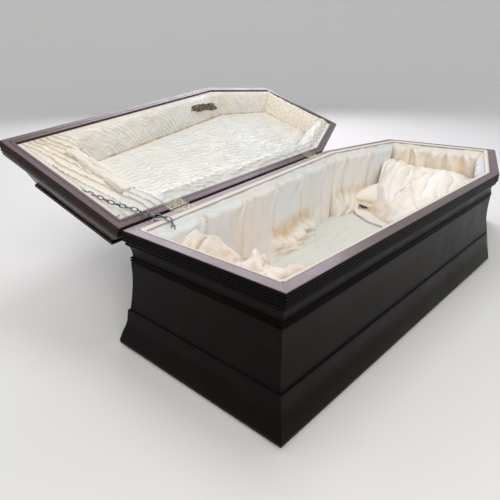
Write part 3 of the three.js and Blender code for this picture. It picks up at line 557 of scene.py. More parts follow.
def hinge_leaf(name, from_foot, upper):
    """One leaf with its knuckles, worked out in the hinge frame for the closed lid and set at its place. Its
    pattern is pressed so low that the two leaves clear each other when the lid is shut."""
    way = 1 if upper else -1
    a, i = np.meshgrid(
        np.linspace(-LEAF_LENGTH / 2, LEAF_LENGTH / 2, 141), np.linspace(0, LEAF_WIDTH, 58), indexing="ij")
    relief = np.minimum(leaf_relief(a, i), PRESSED_TOP)
    face = AXIS_HEIGHT + way * (CLOSED_GAP / 2 - LEAF_PROUD + 0.0004 - PRESSED_SHARE * relief)
    back = np.full(a.shape, AXIS_HEIGHT + way * (CLOSED_GAP / 2 - LEAF_PROUD + LEAF_THICKNESS))
    # The low parts of the pressed pattern are darkened: tarnish grime, and painted shade the shallow relief can't
    # cast.
    grime_and_shade = np.clip(1 - relief / 0.0007, 0, 1) * 0.8
    plate = np.stack([np.stack([a, -i, face], -1), np.stack([a, -i, back], -1)])
    parts = [(plate, slab_faces(*a.shape), np.stack([grime_and_shade, grime_and_shade]))]
    for index in range(1 if upper else 0, KNUCKLE_COUNT, 2):
        start = (index - KNUCKLE_COUNT / 2) * KNUCKLE_LENGTH + KNUCKLE_GAP / 2
        length = KNUCKLE_LENGTH - KNUCKLE_GAP
        parts.append(turned_part(start, length, KNUCKLE_RADIUS, 4))
        web = np.array([(u, v, w) for u in (start, start + length) for v in (-0.001, AXIS_OUT - 0.001)
                        for w in sorted((float(back[0, 0]), float(back[0, 0]) - way * 0.0016))])
        web_faces = [(0, 1, 3, 2), (4, 6, 7, 5), (0, 4, 5, 1), (2, 3, 7, 6), (0, 2, 6, 4), (1, 5, 7, 3)]
        parts.append((web, web_faces, np.full(8, 0.3)))
    if not upper:
        full = KNUCKLE_COUNT * KNUCKLE_LENGTH
        for start in (-full / 2 - 0.003, full / 2 - 0.0006):
            parts.append(turned_part(start, 0.0036, PIN_RADIUS * 1.5, 1, steps=12))
    points, faces, creases = joined(parts)
    place = (HINGE_START + HINGE_ALONG * (from_foot + points[:, :1]) + HINGE_OUT * points[:, 1:2]
             + (0, 0, 1) * points[:, 2:])
    leaf = finish_mesh(name, place, faces, creases=creases, sharp=math.radians(50))
    mesh = leaf.data
    work = bmesh.new()
    work.from_mesh(mesh)
    bmesh.ops.recalc_face_normals(work, faces=work.faces)
    work.to_mesh(mesh)
    work.free()
    return open_up(leaf) if upper else leaf


def plated_metal(name, bright, dull, grime_and_shade, rough, pit):
    """Plated metal gone dull: brighter where it is rubbed, dark in its hollows from grime and painted shade, with
    pits about 1 mm apart.
    """
    material, tree = new_material(name)
    place = add_node(tree, "ShaderNodeTexCoord")
    blotch = add_node(tree, "ShaderNodeTexNoise", {
        "Vector": place.outputs["Object"], "Scale": 120.0, "Detail": 4.0, "Roughness": 0.6})
    plating = two_tones(tree, blotch.outputs["Fac"], (0.38, 0.66), (dull, bright))
    hollow = add_node(tree, "ShaderNodeAttribute", attribute_name="crease")
    colour = add_node(tree, "ShaderNodeMix", {
        "Factor": hollow.outputs["Fac"], "A": plating, "B": linear(grime_and_shade)}, data_type="RGBA")
    spread = add_node(tree, "ShaderNodeMapRange", {
        "Value": blotch.outputs["Fac"], "From Min": 0.3, "From Max": 0.7, "To Min": rough + 0.15, "To Max": rough})
    pits = add_node(tree, "ShaderNodeTexNoise", {"Vector": place.outputs["Object"], "Scale": 900.0, "Detail": 2.0})
    bump = add_node(tree, "ShaderNodeBump", {"Height": pits.outputs["Fac"], "Strength": pit, "Distance": 0.0004})
    principled(tree, {
        "Base Color": colour.outputs["Result"], "Metallic": 0.9, "Roughness": spread.outputs["Result"],
        "Normal": bump.outputs["Normal"]})
    return material


grey_brass = plated_metal("pressed_brass_tarnished", "#c4bfa8", "#8a8573", "#4a4438", 0.38, 0.2)
for place_name, from_foot in HINGES_FROM_FOOT.items():
    for body, upper in (("case", False), ("lid", True)):
        leaf = hinge_leaf(f"{body}_leaf_{place_name}", from_foot, upper)
        leaf.data.materials.append(grey_brass)
        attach(leaf, body)
        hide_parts(f"{body}_hinge_leaf_{place_name}")


# Stay chain and its two screw plates
# Plated steel links, each turned a quarter from the last, from an eye inside the lid's foot end over both rims
# to an eye on the lining. The chain is taut enough to keep the lid from falling further back.
LINK_COUNT, LINK_WIRE, LINK_WIDTH = 19, 0.0040, 0.0150
CHAIN_PLATE_THICKNESS, CHAIN_PLATE_HEIGHT, EYE_RADIUS = 0.002, 0.012, 0.006
CHAIN_LIFT = 0.009
LID_PLATE_FROM_HINGE, CASE_PLATE_FROM_FOOT, CASE_PLATE_DROP = 0.236, 0.156, 0.040
LINING_THICKNESS = 0.016
LID_CROSSING = ((0.105, 0.042), (0.118, 0.014))
CASE_CROSSING = ((0.130, 0.006), (0.140, 0.036))


def case_place(along, inwards, above):
    """A point along the hinge line from the foot, inwards from the rim's outer edge and above the case's rim."""
    return HINGE_START + HINGE_ALONG * along - HINGE_OUT * inwards + (0, 0, CASE_HEIGHT + above)


def lid_place(along, inwards, above):
    """The same kind of point on the open lid, above the rim that now faces up."""
    return opened(HINGE_START + HINGE_ALONG * along - HINGE_OUT * inwards + (0, 0, LID_RIM - above))


def even_points(curve, count):
    """Points at even lengths along a dense curve."""
    run = run_along(curve)
    at = np.linspace(0, run[-1], count)
    return np.stack([np.interp(at, run, curve[:, axis]) for axis in range(curve.shape[1])], -1)


def wire_ring(length, width, wire, stations=18, sides=8):
    """Closed ring of round wire: a circle of points round each point of an oval, whose two half-circles
    are moved apart along X. Returns the points as a grid, around both ways."""
    angle = (np.arange(stations) + 0.5) / stations * 2 * np.pi
    outwards = np.stack([np.cos(angle), np.sin(angle), 0 * angle], -1)
    centre = outwards * (width - wire) / 2
    centre[:, 0] += np.sign(outwards[:, 0]) * (length - width) / 2
    turn = np.arange(sides) / sides * 2 * np.pi
    return (centre[:, None] + outwards[:, None] * (wire / 2 * np.cos(turn))[None, :, None]
            + np.array([0, 0, 1]) * (wire / 2 * np.sin(turn))[None, :, None])


def ring_faces(stations, sides, start=0):
    """The quads of a ring that closes both ways."""
    i, j = np.arange(stations)[:, None], np.arange(sides)[None, :]
    k, n = (i + 1) % stations, (j + 1) % sides
    quads = np.stack([i * sides + j, k * sides + j, k * sides + n, i * sides + n], -1).reshape(-1, 4)
    return (quads + start).tolist()


inner_outset = -RIM_WIDTH - LINING_THICKNESS - 2 * JOIN_GAP
foot_slope = HINGE_ALONG[1] / HINGE_ALONG[0]
lid_eye_along = RIM_WIDTH - LID_PLATE_FROM_HINGE * foot_slope + CHAIN_PLATE_THICKNESS + EYE_RADIUS
lid_eye_depth = CHAIN_PLATE_HEIGHT / 2 + 0.002
case_eye_inwards = -inner_outset + CHAIN_PLATE_THICKNESS + EYE_RADIUS
chain_curve = smooth_curve([
    lid_place(lid_eye_along + 0.002, LID_PLATE_FROM_HINGE - 0.003, -lid_eye_depth),
    lid_place(lid_eye_along + 0.020, LID_PLATE_FROM_HINGE - 0.070, 0),
    lid_place(lid_eye_along + 0.042, LID_PLATE_FROM_HINGE - 0.136, 0.005),
    *(lid_place(along, inwards, CHAIN_LIFT) for along, inwards in LID_CROSSING),
    *(case_place(along, inwards, CHAIN_LIFT) for along, inwards in CASE_CROSSING),
    case_place(CASE_PLATE_FROM_FOOT - 0.005, case_eye_inwards, -0.002),
    case_place(CASE_PLATE_FROM_FOOT, case_eye_inwards, -CASE_PLATE_DROP + 0.003),
], 20)
joints_of_chain = even_points(chain_curve, LINK_COUNT + 1)
link_run = np.diff(joints_of_chain, axis=0)
pitch = np.linalg.norm(link_run, axis=1).mean()
ring = wire_ring(pitch + 1.7 * LINK_WIRE, LINK_WIDTH, LINK_WIRE)
along_link = link_run / np.linalg.norm(link_run, axis=1)[:, None]
across_link = HINGE_ALONG - along_link * (along_link @ HINGE_ALONG)[:, None]
across_link /= np.linalg.norm(across_link, axis=1)[:, None]
normal_link = np.cross(along_link, across_link)
lean = (np.arange(LINK_COUNT) % 2) * np.pi / 2 + np.pi / 4 + 0.2 * np.sin(np.arange(LINK_COUNT) * 2.3)
width_link = across_link * np.cos(lean)[:, None] + normal_link * np.sin(lean)[:, None]
thick_link = np.cross(along_link, width_link)
middle = (joints_of_chain[:-1] + joints_of_chain[1:]) / 2
links = (middle[:, None, None] + ring[None, ..., 0:1] * along_link[:, None, None]
         + ring[None, ..., 1:2] * width_link[:, None, None] + ring[None, ..., 2:3] * thick_link[:, None, None])
stations, sides_round = ring.shape[:2]
faces = [quad for k in range(LINK_COUNT) for quad in ring_faces(stations, sides_round, k * stations * sides_round)]
chain = finish_mesh("stay_chain_links", links, faces, sharp=math.pi)
plated_steel = plated_metal("plated_steel_dull", "#a3adaf", "#586164", "#2b3234", 0.34, 0.2)
chain.data.materials.append(plated_steel)
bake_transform(chain)
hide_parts("stay_chain")
for plate in ("case_chain_plate", "lid_chain_plate"):
    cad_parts[plate].data.materials.clear()
    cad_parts[plate].data.materials.append(plated_steel)


# Padded linings of the case
# Ivory satin over wadding, tacked to the inside of each board. It is rolled over the top edge and drawn in along
# upright seams a span of the hand apart, so each panel swells and throws short folds from its seams.
CASE_LINING_TOP = CASE_HEIGHT - 0.001
SEAMS = {"side": (0.02, 0.26, 0.52, 0.78, 1.04, 1.30), "shoulder": (0.10, 0.345), "end": (0.10, 0.207, 0.32, 0.43)}


def wander(x, y, seed):
    """Smooth noise from -1 to 1: random values on a unit lattice, blended between by the cubic smoothstep."""
    table = np.random.default_rng(seed).uniform(-1, 1, (61, 67))
    left, low = np.floor(x).astype(int), np.floor(y).astype(int)
    a, b = x - left, y - low
    a, b = a * a * (3 - 2 * a), b * b * (3 - 2 * b)

    def value(i, j):
        return table[(left + i) % 61, (low + j) % 67]
    return (value(0, 0) * (1 - a) + value(1, 0) * a) * (1 - b) + (value(0, 1) * (1 - a) + value(1, 1) * a) * b


def softened(height, rounds):
    """The grid averaged with its four neighbours, a number of times over, with its border repeated."""
    for _ in range(rounds):
        p = np.pad(height, 1, mode="edge")
        height = (p[:-2, 1:-1] + p[2:, 1:-1] + p[1:-1, :-2] + p[1:-1, 2:] + 2 * height) / 6
    return height


def crease_of(height, rounds=10, depth=0.0022):
    """How deep each point lies in a crease, 0 to 1: how far it is below its surroundings' mean height.
    The satin materials paint shade in proportion to it.
    """
    return np.clip((softened(height, rounds) - height) / depth, 0, 1)


def seamed_panel(s, q, seams, seed, swell=0.014):
    """Height of the satin over its board at s along and q down: full between the seams, pinched at them over
    17 mm, ruched in slanting puckers every 19 mm, with folds that fan out from each seam's top. The second grid
    is the shade painted along the seams, up to 0.75 in the hollows of the puckers."""
    height, seam_shade = np.full(s.shape, swell), np.zeros(s.shape)
    for k, seam in enumerate(seams):
        e = s - seam - 0.004 * wander(q / 0.06, q * 0 + k, seed + 1)
        height -= swell * 0.95 * np.exp(-(np.abs(e) / 0.017) ** 1.2)
        ruche = np.abs(np.sin(np.pi * (q + 0.9 * np.abs(e)) / 0.019 + 0.9 * np.sign(e))) ** 0.7
        height += 0.0066 * (ruche - 0.5) * np.exp(-((np.abs(e) - 0.009) / 0.010) ** 2)
        # Painted shade along the seam, darkest where the puckers dip.
        seam_shade = np.maximum(seam_shade, (0.75 - 0.6 * ruche) * np.exp(-((np.abs(e) - 0.003) / 0.004) ** 2))
        angle = np.arctan2(e, q + 0.03)
        fan = np.sin(8 * angle + 2.0 * wander(angle * 2, q / 0.2 + k, seed + 2))
        reach = np.exp(-(np.hypot(e, q) / 0.12) ** 2) * eased(np.abs(e) / 0.010)
        height += 0.0065 * fan * reach
    drop = wander((s + 0.22 * q) / 0.055 + wander(s / 0.09, q / 0.25, seed + 5), q / 0.40, seed + 6)
    height += 0.0042 * np.abs(drop) ** 0.8 + 0.0014 * wander((s - 0.2 * q) / 0.024, q / 0.18, seed + 8)
    return height, seam_shade


def rolled_profile(top, foot, steps):
    """Section of the lining as (outset, height): up off the board, over a soft roll at the top and down the face."""
    edge = -RIM_WIDTH - JOIN_GAP
    return smooth_curve([
        (edge, top - 0.0015), (edge - 0.008, top - 0.0045), (edge - 0.016, top - 0.010), (edge - 0.022, top - 0.020),
        (edge - 0.024, top - 0.032), (edge - 0.024, top - 0.048), (edge - 0.021, top - 0.075),
        (edge - 0.017, top - 0.12), (edge - 0.015, top - 0.16), (edge - 0.013, top - 0.22),
        (edge - 0.011, foot + 0.05), (edge - 0.012, foot)], steps)


def section_normals(profile):
    """Unit normals of a section, to the left of its direction, from central differences."""
    step = np.gradient(profile, axis=0)
    return np.stack([step[:, 1], -step[:, 0]], -1) / np.linalg.norm(step, axis=1)[:, None]


def side_surface(side, profile, height, share):
    """A section carried from corner to corner of one side and raised along its normals by a height for each
    (share along, place on the section). The ends stay in the mitre planes."""
    normal = section_normals(profile)
    section = profile[None] + normal[None] * height[..., None]
    start, end = plan_corner(side, section[..., 0]), plan_corner(side + 1, section[..., 0])
    along = side_direction(side)
    start, end = start + along * JOIN_GAP, end - along * JOIN_GAP
    plan = start + (end - start) * share[:, None, None]
    return np.concatenate([plan, section[..., 1:2]], -1)


def wadded_piece(name, front, back, creases, uv, torn=None):
    """A closed pad from its front grid and a back line for each row of the grid: the rows are joined into
    rings, and both ends are closed."""
    points = np.concatenate([front, back], 1)
    rows, spare = back.shape[:2]
    uv = np.concatenate([uv, np.repeat(uv[:, -1:], spare, 1)], 1)
    creases = np.concatenate([creases, np.zeros((rows, spare))], 1)
    if torn is not None:
        torn = np.concatenate([torn, np.zeros((rows, spare))], 1)
    piece = finish_mesh(name, points, tube_faces(*points.shape[:2]), uv, creases, math.radians(75), torn)
    outward_check(piece)
    return piece


def satin(name, light, shade, cool, warm, warm_share, patch_scale, sky=None):
    """Polyester satin, woven with long floats: a soft broad gloss, brighter at glancing angles. Its threads are
    0.1 mm apart and are drawn as 1.5 mm streaks so that they show. Its creases are painted gold-brown as shade,
    and warm patches are painted in for light thrown back from the folds around them. Patches of it are cooler,
    and between the two heights of sky it is painted cooler upwards, as sky light."""
    material, tree = new_material(name)
    place = add_node(tree, "ShaderNodeTexCoord")
    fold = add_node(tree, "ShaderNodeAttribute", attribute_name="crease")
    patch = add_node(tree, "ShaderNodeTexNoise", {
        "Vector": place.outputs["Object"], "Scale": patch_scale, "Detail": 3.0, "Roughness": 0.55})
    tone = add_node(tree, "ShaderNodeMapRange", {
        "Value": patch.outputs["Fac"], "From Min": 0.38, "From Max": 0.62, "To Min": 0.0, "To Max": 1.0})
    # Painted sky light: between the two heights the colour turns towards the cool tone upwards.
    if sky:
        upright = add_node(tree, "ShaderNodeSeparateXYZ", {"Vector": place.outputs["Object"]})
        rise = add_node(tree, "ShaderNodeMapRange", {
            "Value": upright.outputs["Z"], "From Min": sky[0], "From Max": sky[1]})
        both = add_node(tree, "ShaderNodeMath", {0: rise.outputs["Result"], 1: tone.outputs["Result"]})
        tone = add_node(tree, "ShaderNodeMapRange", {
            "Value": both.outputs["Value"], "From Min": 0.3, "From Max": 1.5})
    body = add_node(tree, "ShaderNodeMix", {
        "Factor": tone.outputs["Result"], "A": linear(light), "B": linear(cool)}, data_type="RGBA")
    # Painted reflection: warm patches where light thrown back from nearby folds tints the cloth.
    stain_and_warm_glow = add_node(tree, "ShaderNodeTexNoise", {
        "Vector": place.outputs["Object"], "Scale": patch_scale * 1.9, "Detail": 4.0, "Distortion": 0.8})
    spread = add_node(tree, "ShaderNodeMapRange", {
        "Value": stain_and_warm_glow.outputs["Fac"], "From Min": 0.52, "From Max": 0.72, "To Min": 0.0, "To Max": warm_share})
    tinted = add_node(tree, "ShaderNodeMix", {
        "Factor": spread.outputs["Result"], "A": body.outputs["Result"], "B": linear(warm)}, data_type="RGBA")
    # Painted shade: the deeper a point lies in a crease, the more of the gold-brown shade colour it takes.
    deep = add_node(tree, "ShaderNodeMath", {0: fold.outputs["Fac"], 1: 0.75}, operation="MULTIPLY")
    colour = add_node(tree, "ShaderNodeMix", {
        "Factor": deep.outputs["Value"], "A": tinted.outputs["Result"], "B": linear(shade)}, data_type="RGBA")
    rip = add_node(tree, "ShaderNodeAttribute", attribute_name="torn")
    fibre = add_node(tree, "ShaderNodeTexNoise", {"Vector": place.outputs["Object"], "Scale": 70.0, "Detail": 4.0})
    wadding = two_tones(tree, fibre.outputs["Fac"], (0.42, 0.64), ("#2c201f", "#96785c"))
    surface = add_node(tree, "ShaderNodeMix", {
        "Factor": rip.outputs["Fac"], "A": colour.outputs["Result"], "B": wadding}, data_type="RGBA")
    thread = add_node(tree, "ShaderNodeUVMap", uv_map="surface")
    drawn = add_node(tree, "ShaderNodeMapping", {"Vector": thread.outputs["UV"], "Scale": (90.0, 650.0, 1.0)})
    float_line = add_node(tree, "ShaderNodeTexNoise", {
        "Vector": drawn.outputs["Vector"], "Scale": 1.0, "Detail": 1.0})
    bump = add_node(tree, "ShaderNodeBump", {
        "Height": float_line.outputs["Fac"], "Strength": 0.18, "Distance": 0.0005})
    principled(tree, {
        "Base Color": surface.outputs["Result"], "Roughness": 0.42, "IOR": 1.46, "Sheen Weight": 0.25,
        "Sheen Roughness": 0.4, "Normal": bump.outputs["Normal"]})
    return material


lining_satin = satin("ivory_satin_lining", "#f6ebdf", "#cfae7c", "#e6ebed", "#efd6b2", 0.30, 2.2, sky=(0.10, 0.36))
# The head end's lining takes a sunlit copy of the satin: its peach colours are painted sunlight.
peach_satin_painted_sunlit = satin("peach_satin_lining", "#fbe9d2", "#c99f62", "#f4f0ea", "#f2d3a6", 0.45, 2.2, sky=(0.28, 0.40))
for side, name in enumerate(SIDES):
    length = float(np.linalg.norm(RIM_CORNERS[(side + 1) % 6] - RIM_CORNERS[side]))
    seams = SEAMS[name.split("_")[1]]
    if name.startswith("hinge"):
        seams = tuple(length - seam for seam in seams)
    profile = rolled_profile(CASE_LINING_TOP - 0.002, BOTTOM_THICKNESS + JOIN_GAP, 8)
    rows = int(length / 0.0045)
    share = np.linspace(0, 1, rows)
    run = run_along(profile)
    s, q = np.broadcast_arrays(share[:, None] * length, run[None])
    height, seam_shade = seamed_panel(s, np.maximum(q - 0.035, 0), seams, 20 + side * 11)
    gathered = 0.0030 * wander(s / 0.045, q / 0.08, 31 + side) + 0.0012 * wander(s / 0.014, q / 0.05, 32 + side)
    height = gathered * (1 - eased((q - 0.030) / 0.025)) + height * eased((q - 0.030) / 0.025)
    if name in ("hinge_side", "hinge_shoulder", "front_side", "front_shoulder"):
        at = s if name.startswith("front") else length - s
        bulge = eased((wander(at / 0.19 + 0.3, q * 0 + 0.5, 77) + 0.35) / 0.9)
        crimp = 0.55 + 0.45 * np.abs(np.sin(np.pi * (at + 0.5 * q) / 0.085 + 3 * wander(at / 0.1, q / 0.1, 78)))
        height = height + 0.046 * bulge * crimp * eased((q - 0.22) / 0.09)
    if name == "hinge_side":
        loose = eased((at - 0.70) / 0.12) * eased((1.22 - at) / 0.12)
        fold = np.exp(-((q - 0.315 + 0.012 * np.sin(at / 0.05)) / 0.030) ** 2) + 0.7 * eased((q - 0.335) / 0.02)
        height = height + loose * fold * (0.045 + 0.012 * np.sin(at / 0.021 + 3 * wander(at / 0.06, q / 0.05, 79)))
    pinned = eased(q / 0.015) * eased(s / 0.02) * eased((length - s) / 0.02)
    height = height * pinned
    front = side_surface(side, profile, height, share)
    back_line = np.array([
        (-RIM_WIDTH - JOIN_GAP, BOTTOM_THICKNESS + JOIN_GAP), (-RIM_WIDTH - JOIN_GAP, CASE_LINING_TOP - 0.02)])
    back = side_surface(side, back_line, np.zeros((rows, 2)), share)
    # Painted shade: the panel's creases and the puckers along its seams turn towards the gold-brown shade colour.
    hollows = np.maximum(crease_of(height, 14, 0.0085), seam_shade * eased((q - 0.03) / 0.02))
    lining = wadded_piece(f"lining_{name}", front, back, hollows, np.stack([s, q], -1))
    lining.data.materials.append(peach_satin_painted_sunlit if name == "head_end" else lining_satin)
    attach(lining, "case")
    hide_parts(f"case_lining_{name}")


# Braid along the rim
# A woven ivory gimp, 19 mm wide with rows of raised dots 9 mm apart, glued over the lining's tacks. It lies on the
# roll of the lining along the rim's inner edge, turned 20 degrees down into the case.
BRAID_WIDTH, BRAID_THICKNESS, BRAID_DOT, BRAID_TILT = 0.019, 0.0013, 0.009, math.radians(20)


def braid_band(name, corners, facing, dot, width, thickness, bottom, rows_of_dots):
    """A closed band along a path of corners that faces the way given for each corner: a low arch across, with
    rows of bumps and scalloped edges, so its height is the arch times 0.55 plus 0.45 of the bumps."""
    run = run_along(corners)
    count = int(run[-1] / dot) * 6
    at = np.linspace(0, run[-1], count)
    middle = np.stack([np.interp(at, run, corners[:, axis]) for axis in range(3)], -1)
    step = np.gradient(middle, axis=0)
    step /= np.linalg.norm(step, axis=1)[:, None]
    facing = np.broadcast_to(facing, corners.shape)
    rise = np.stack([np.interp(at, run, facing[:, axis]) for axis in range(3)], -1)
    across = np.cross(rise, step)
    across /= np.linalg.norm(across, axis=1)[:, None]
    v = np.linspace(-1, 1, 9)
    phase = 2 * np.pi * at[:, None] / dot
    scallop = 1 + 0.10 * np.cos(phase)
    dots = np.cos(phase) * np.cos(rows_of_dots * np.pi * v[None])
    arch = (1 - v[None] ** 2) ** 0.5 * thickness * (0.55 + 0.45 * dots)
    reach = v[None] * scallop * width / 2
    top = middle[:, None] + across[:, None] * reach[..., None] + rise[:, None] * arch[..., None]
    edges = np.array([0.9, -0.9]) * width / 2
    under = middle[:, None] + across[:, None] * edges[None, :, None] - rise[:, None] * bottom
    points = np.concatenate([top, under], 1)
    # Painted shade: the low parts between the bumps and the underside take the darker colour.
    creases = np.concatenate([np.clip(1 - arch / (0.75 * thickness), 0, 1), np.ones((count, 2))], 1)
    uv = np.stack(np.broadcast_arrays(at[:, None], np.arange(11)[None] * width / 9), -1)
    band = finish_mesh(name, points, tube_faces(count, 11), uv, creases, sharp=math.pi)
    outward_check(band)
    return band


def woven_gimp(name, thread, gap_shade):
    """Cotton gimp: matt raised threads, pale on the crowns, with painted shade darkening the hollows between them."""
    material, tree = new_material(name)
    hollow = add_node(tree, "ShaderNodeAttribute", attribute_name="crease")
    place = add_node(tree, "ShaderNodeTexCoord")
    knots = add_node(tree, "ShaderNodeTexNoise", {"Vector": place.outputs["Object"], "Scale": 420.0, "Detail": 2.0})
    colour = add_node(tree, "ShaderNodeMix", {
        "Factor": hollow.outputs["Fac"], "A": linear(thread), "B": linear(gap_shade)}, data_type="RGBA")
    bump = add_node(tree, "ShaderNodeBump", {"Height": knots.outputs["Fac"], "Strength": 0.5, "Distance": 0.0006})
    principled(tree, {
        "Base Color": colour.outputs["Result"], "Roughness": 0.8, "Normal": bump.outputs["Normal"]})
    return material


gimp = woven_gimp("woven_cotton_gimp", "#f8f2ec", "#b7a692")
braid_path, braid_face = [], []
for side in range(6):
    inwards = np.array([-side_direction(side)[1], side_direction(side)[0], 0])
    for k in (side, side + 1):
        braid_path.append([*plan_corner(k, -RIM_WIDTH - 0.0068), CASE_HEIGHT - 0.0026])
        braid_face.append(math.sin(BRAID_TILT) * inwards + (0, 0, math.cos(BRAID_TILT)))
        braid_path[-1][:2] += side_direction(side) * (0.0004 if k == side else -0.0004)
rim_braid = braid_band("rim_braid", np.array(braid_path), np.array(braid_face), BRAID_DOT, BRAID_WIDTH,
                       BRAID_THICKNESS, 0.0012, 2)
rim_braid.data.materials.append(gimp)
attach(rim_braid, "case")


# Mattress
# A thin wadded pad that covers the bottom board, in smooth ivory cloth pulled into long shallow folds.
MATTRESS_TOP = 0.0503


def puffs(x, y, seed):
    """Rounded swellings between sharp creases, 0 to 1: the size of wandering noise, opened by a square root."""
    return np.sqrt(np.abs(wander(x, y, seed)) + 0.004) * 1.15


def half_width(x, outset):
    """Half the plan's width at x, with every side moved outwards by outset."""
    foot, shoulder, head = (plan_corner(k, outset) for k in (5, 4, 3))
    return np.interp(x, (foot[0], shoulder[0], head[0]), (foot[1], shoulder[1], head[1]))


def plan_grid(outset, start, end, rows, columns):
    """Plan coordinates of a grid that fills the hexagon between two places along it, border to border."""
    x = np.linspace(start, end, rows)[:, None]
    across = np.linspace(-1, 1, columns)[None]
    x, across = np.broadcast_arrays(x, across)
    return x, across * half_width(x, outset), across


def closed_slab(name, top, bottom, creases, uv):
    """Two grids of the same size joined all round their borders into one closed skin."""
    slab = finish_mesh(name, np.stack([top, bottom]), slab_faces(*top.shape[:2]), np.stack([uv, uv]),
                       np.stack([creases, creases * 0]), math.radians(75))
    outward_check(slab)
    return slab


mattress_satin = satin("ivory_mattress_cloth", "#e8e8e2", "#c8b08a", "#dde2e0", "#e6d5ba", 0.30, 1.7)
mattress_end = plan_corner(3, inner_outset)[0]
x, y, across = plan_grid(inner_outset, -mattress_end, mattress_end, 380, 110)
edge = np.minimum(np.minimum(x + mattress_end, mattress_end - x), half_width(x, inner_outset) - np.abs(y))
ripple = (0.0035 * (puffs(x / 0.34 + 0.5 * wander(x / 0.2, y / 0.1, 5), y / 0.07 + x, 6) - 0.6)
          + 0.0012 * wander(x / 0.05, y / 0.03, 7))
height = MATTRESS_TOP - 0.004 + ripple - 0.012 * (1 - eased(edge / 0.02))
mattress_top = np.stack([x, y, height], -1)
mattress_base = np.stack([x, y, np.full(x.shape, BOTTOM_THICKNESS + JOIN_GAP)], -1)
mattress = closed_slab("wadded_mattress", mattress_top, mattress_base, crease_of(height), np.stack([x, y], -1))
mattress.data.materials.append(mattress_satin)
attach(mattress, "case")
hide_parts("mattress")


# Pillow
# A plain satin pillow, square in the head end, under the thrown cover.
PILLOW_LENGTH, PILLOW_HEIGHT = 0.350, 0.170
head_face = mattress_end - 0.004
x, y, across = plan_grid(inner_outset - 0.006, head_face - PILLOW_LENGTH, head_face, 70, 90)
along = (x - head_face + PILLOW_LENGTH) / PILLOW_LENGTH
crown = (1 - (2 * along - 1) ** 4) ** 0.5 * (1 - across ** 4) ** 0.5
plump = MATTRESS_TOP + PILLOW_HEIGHT * (0.33 + 0.6 * crown) + 0.004 * puffs(x / 0.07, y / 0.09, 8) * crown
pillow_base = MATTRESS_TOP + 0.002 + PILLOW_HEIGHT * 0.33 * (1 - crown)
pillow = closed_slab("satin_pillow", np.stack([x, y, plump], -1), np.stack([x, y, pillow_base], -1),
                     crease_of(plump), np.stack([x, y], -1))
cover_satin = satin("crumpled_ivory_satin", "#fffaf2", "#cc9f5f", "#fbf6f1", "#f8e6ca", 0.40, 3.4)
pillow.data.materials.append(cover_satin)
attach(pillow, "case")
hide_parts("pillow")


# Covers at the head and the foot
# Loose sheets of satin, thrown over the pillow and bunched up at the feet. They lie in deep soft folds with
# sharp valleys, and their free edges rest on the mattress.
COVER_THICKNESS, COVER_SLACK, COVER_INSET = 0.0012, 0.016, 0.012
HEAD_HEM, FOOT_HEM = 0.40, -0.34


def fold_strokes(x, y, strokes):
    """Folds laid one by one along straight lines in plan, as (from x, from y, to x, to y, width, height): a ridge
    falls off as the square of the distance and is round, and a valley falls off with the distance and is sharp."""
    total = np.zeros(x.shape)
    for x0, y0, x1, y1, width, height in strokes:
        reach = math.hypot(x1 - x0, y1 - y0)
        along = ((x - x0) * (x1 - x0) + (y - y0) * (y1 - y0)) / reach
        aside = ((x - x0) * (y1 - y0) - (y - y0) * (x1 - x0)) / reach + 0.3 * width * np.sin(along / (1.5 * width))
        off = np.hypot(aside, np.maximum(np.maximum(-along, along - reach), 0)) / width
        total += height * (np.exp(-off ** 2) if height > 0 else np.exp(-1.5 * off))
    return total


def drawn_folds(x, y, seed, size, turn):
    """Long folds about a size apart, round on top with sharp valleys: the greater of two crossed rows of bent
    arches, which fade into one another over the cloth."""
    bend = 1.5 * wander(x / (2.5 * size), y / (2.5 * size), seed)
    one = np.abs(np.sin(np.pi * (x * math.cos(turn) + y * math.sin(turn)) / size + 2 * bend))
    bend = 1.5 * wander(x / (2 * size), y / (2 * size), seed + 1)
    two = np.abs(np.sin(np.pi * (x * math.cos(turn + 1.2) + y * math.sin(turn + 1.2)) / (0.8 * size) + 2 * bend))
    fade = 0.5 + 0.6 * wander(x / (2 * size), y / (2 * size), seed + 2)
    return np.maximum(one ** 0.8 * fade, two ** 0.8 * (1 - fade))


def thrown_sheet(name, points, creases, node, cloth):
    """One layer of satin given its thickness."""
    rows, columns = points.shape[:2]
    uv = np.stack(np.broadcast_arrays(np.linspace(0, 0.9, rows)[:, None], np.linspace(0, 0.9, columns)[None]), -1)
    cover = finish_mesh(name, points, grid_faces(rows, columns), uv, creases, sharp=math.pi)
    wall = cover.modifiers.new("cloth_thickness", "SOLIDIFY")
    wall.thickness, wall.offset = COVER_THICKNESS, -1
    cover.data.materials.append(cloth)
    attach(cover, "case")
    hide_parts(node)


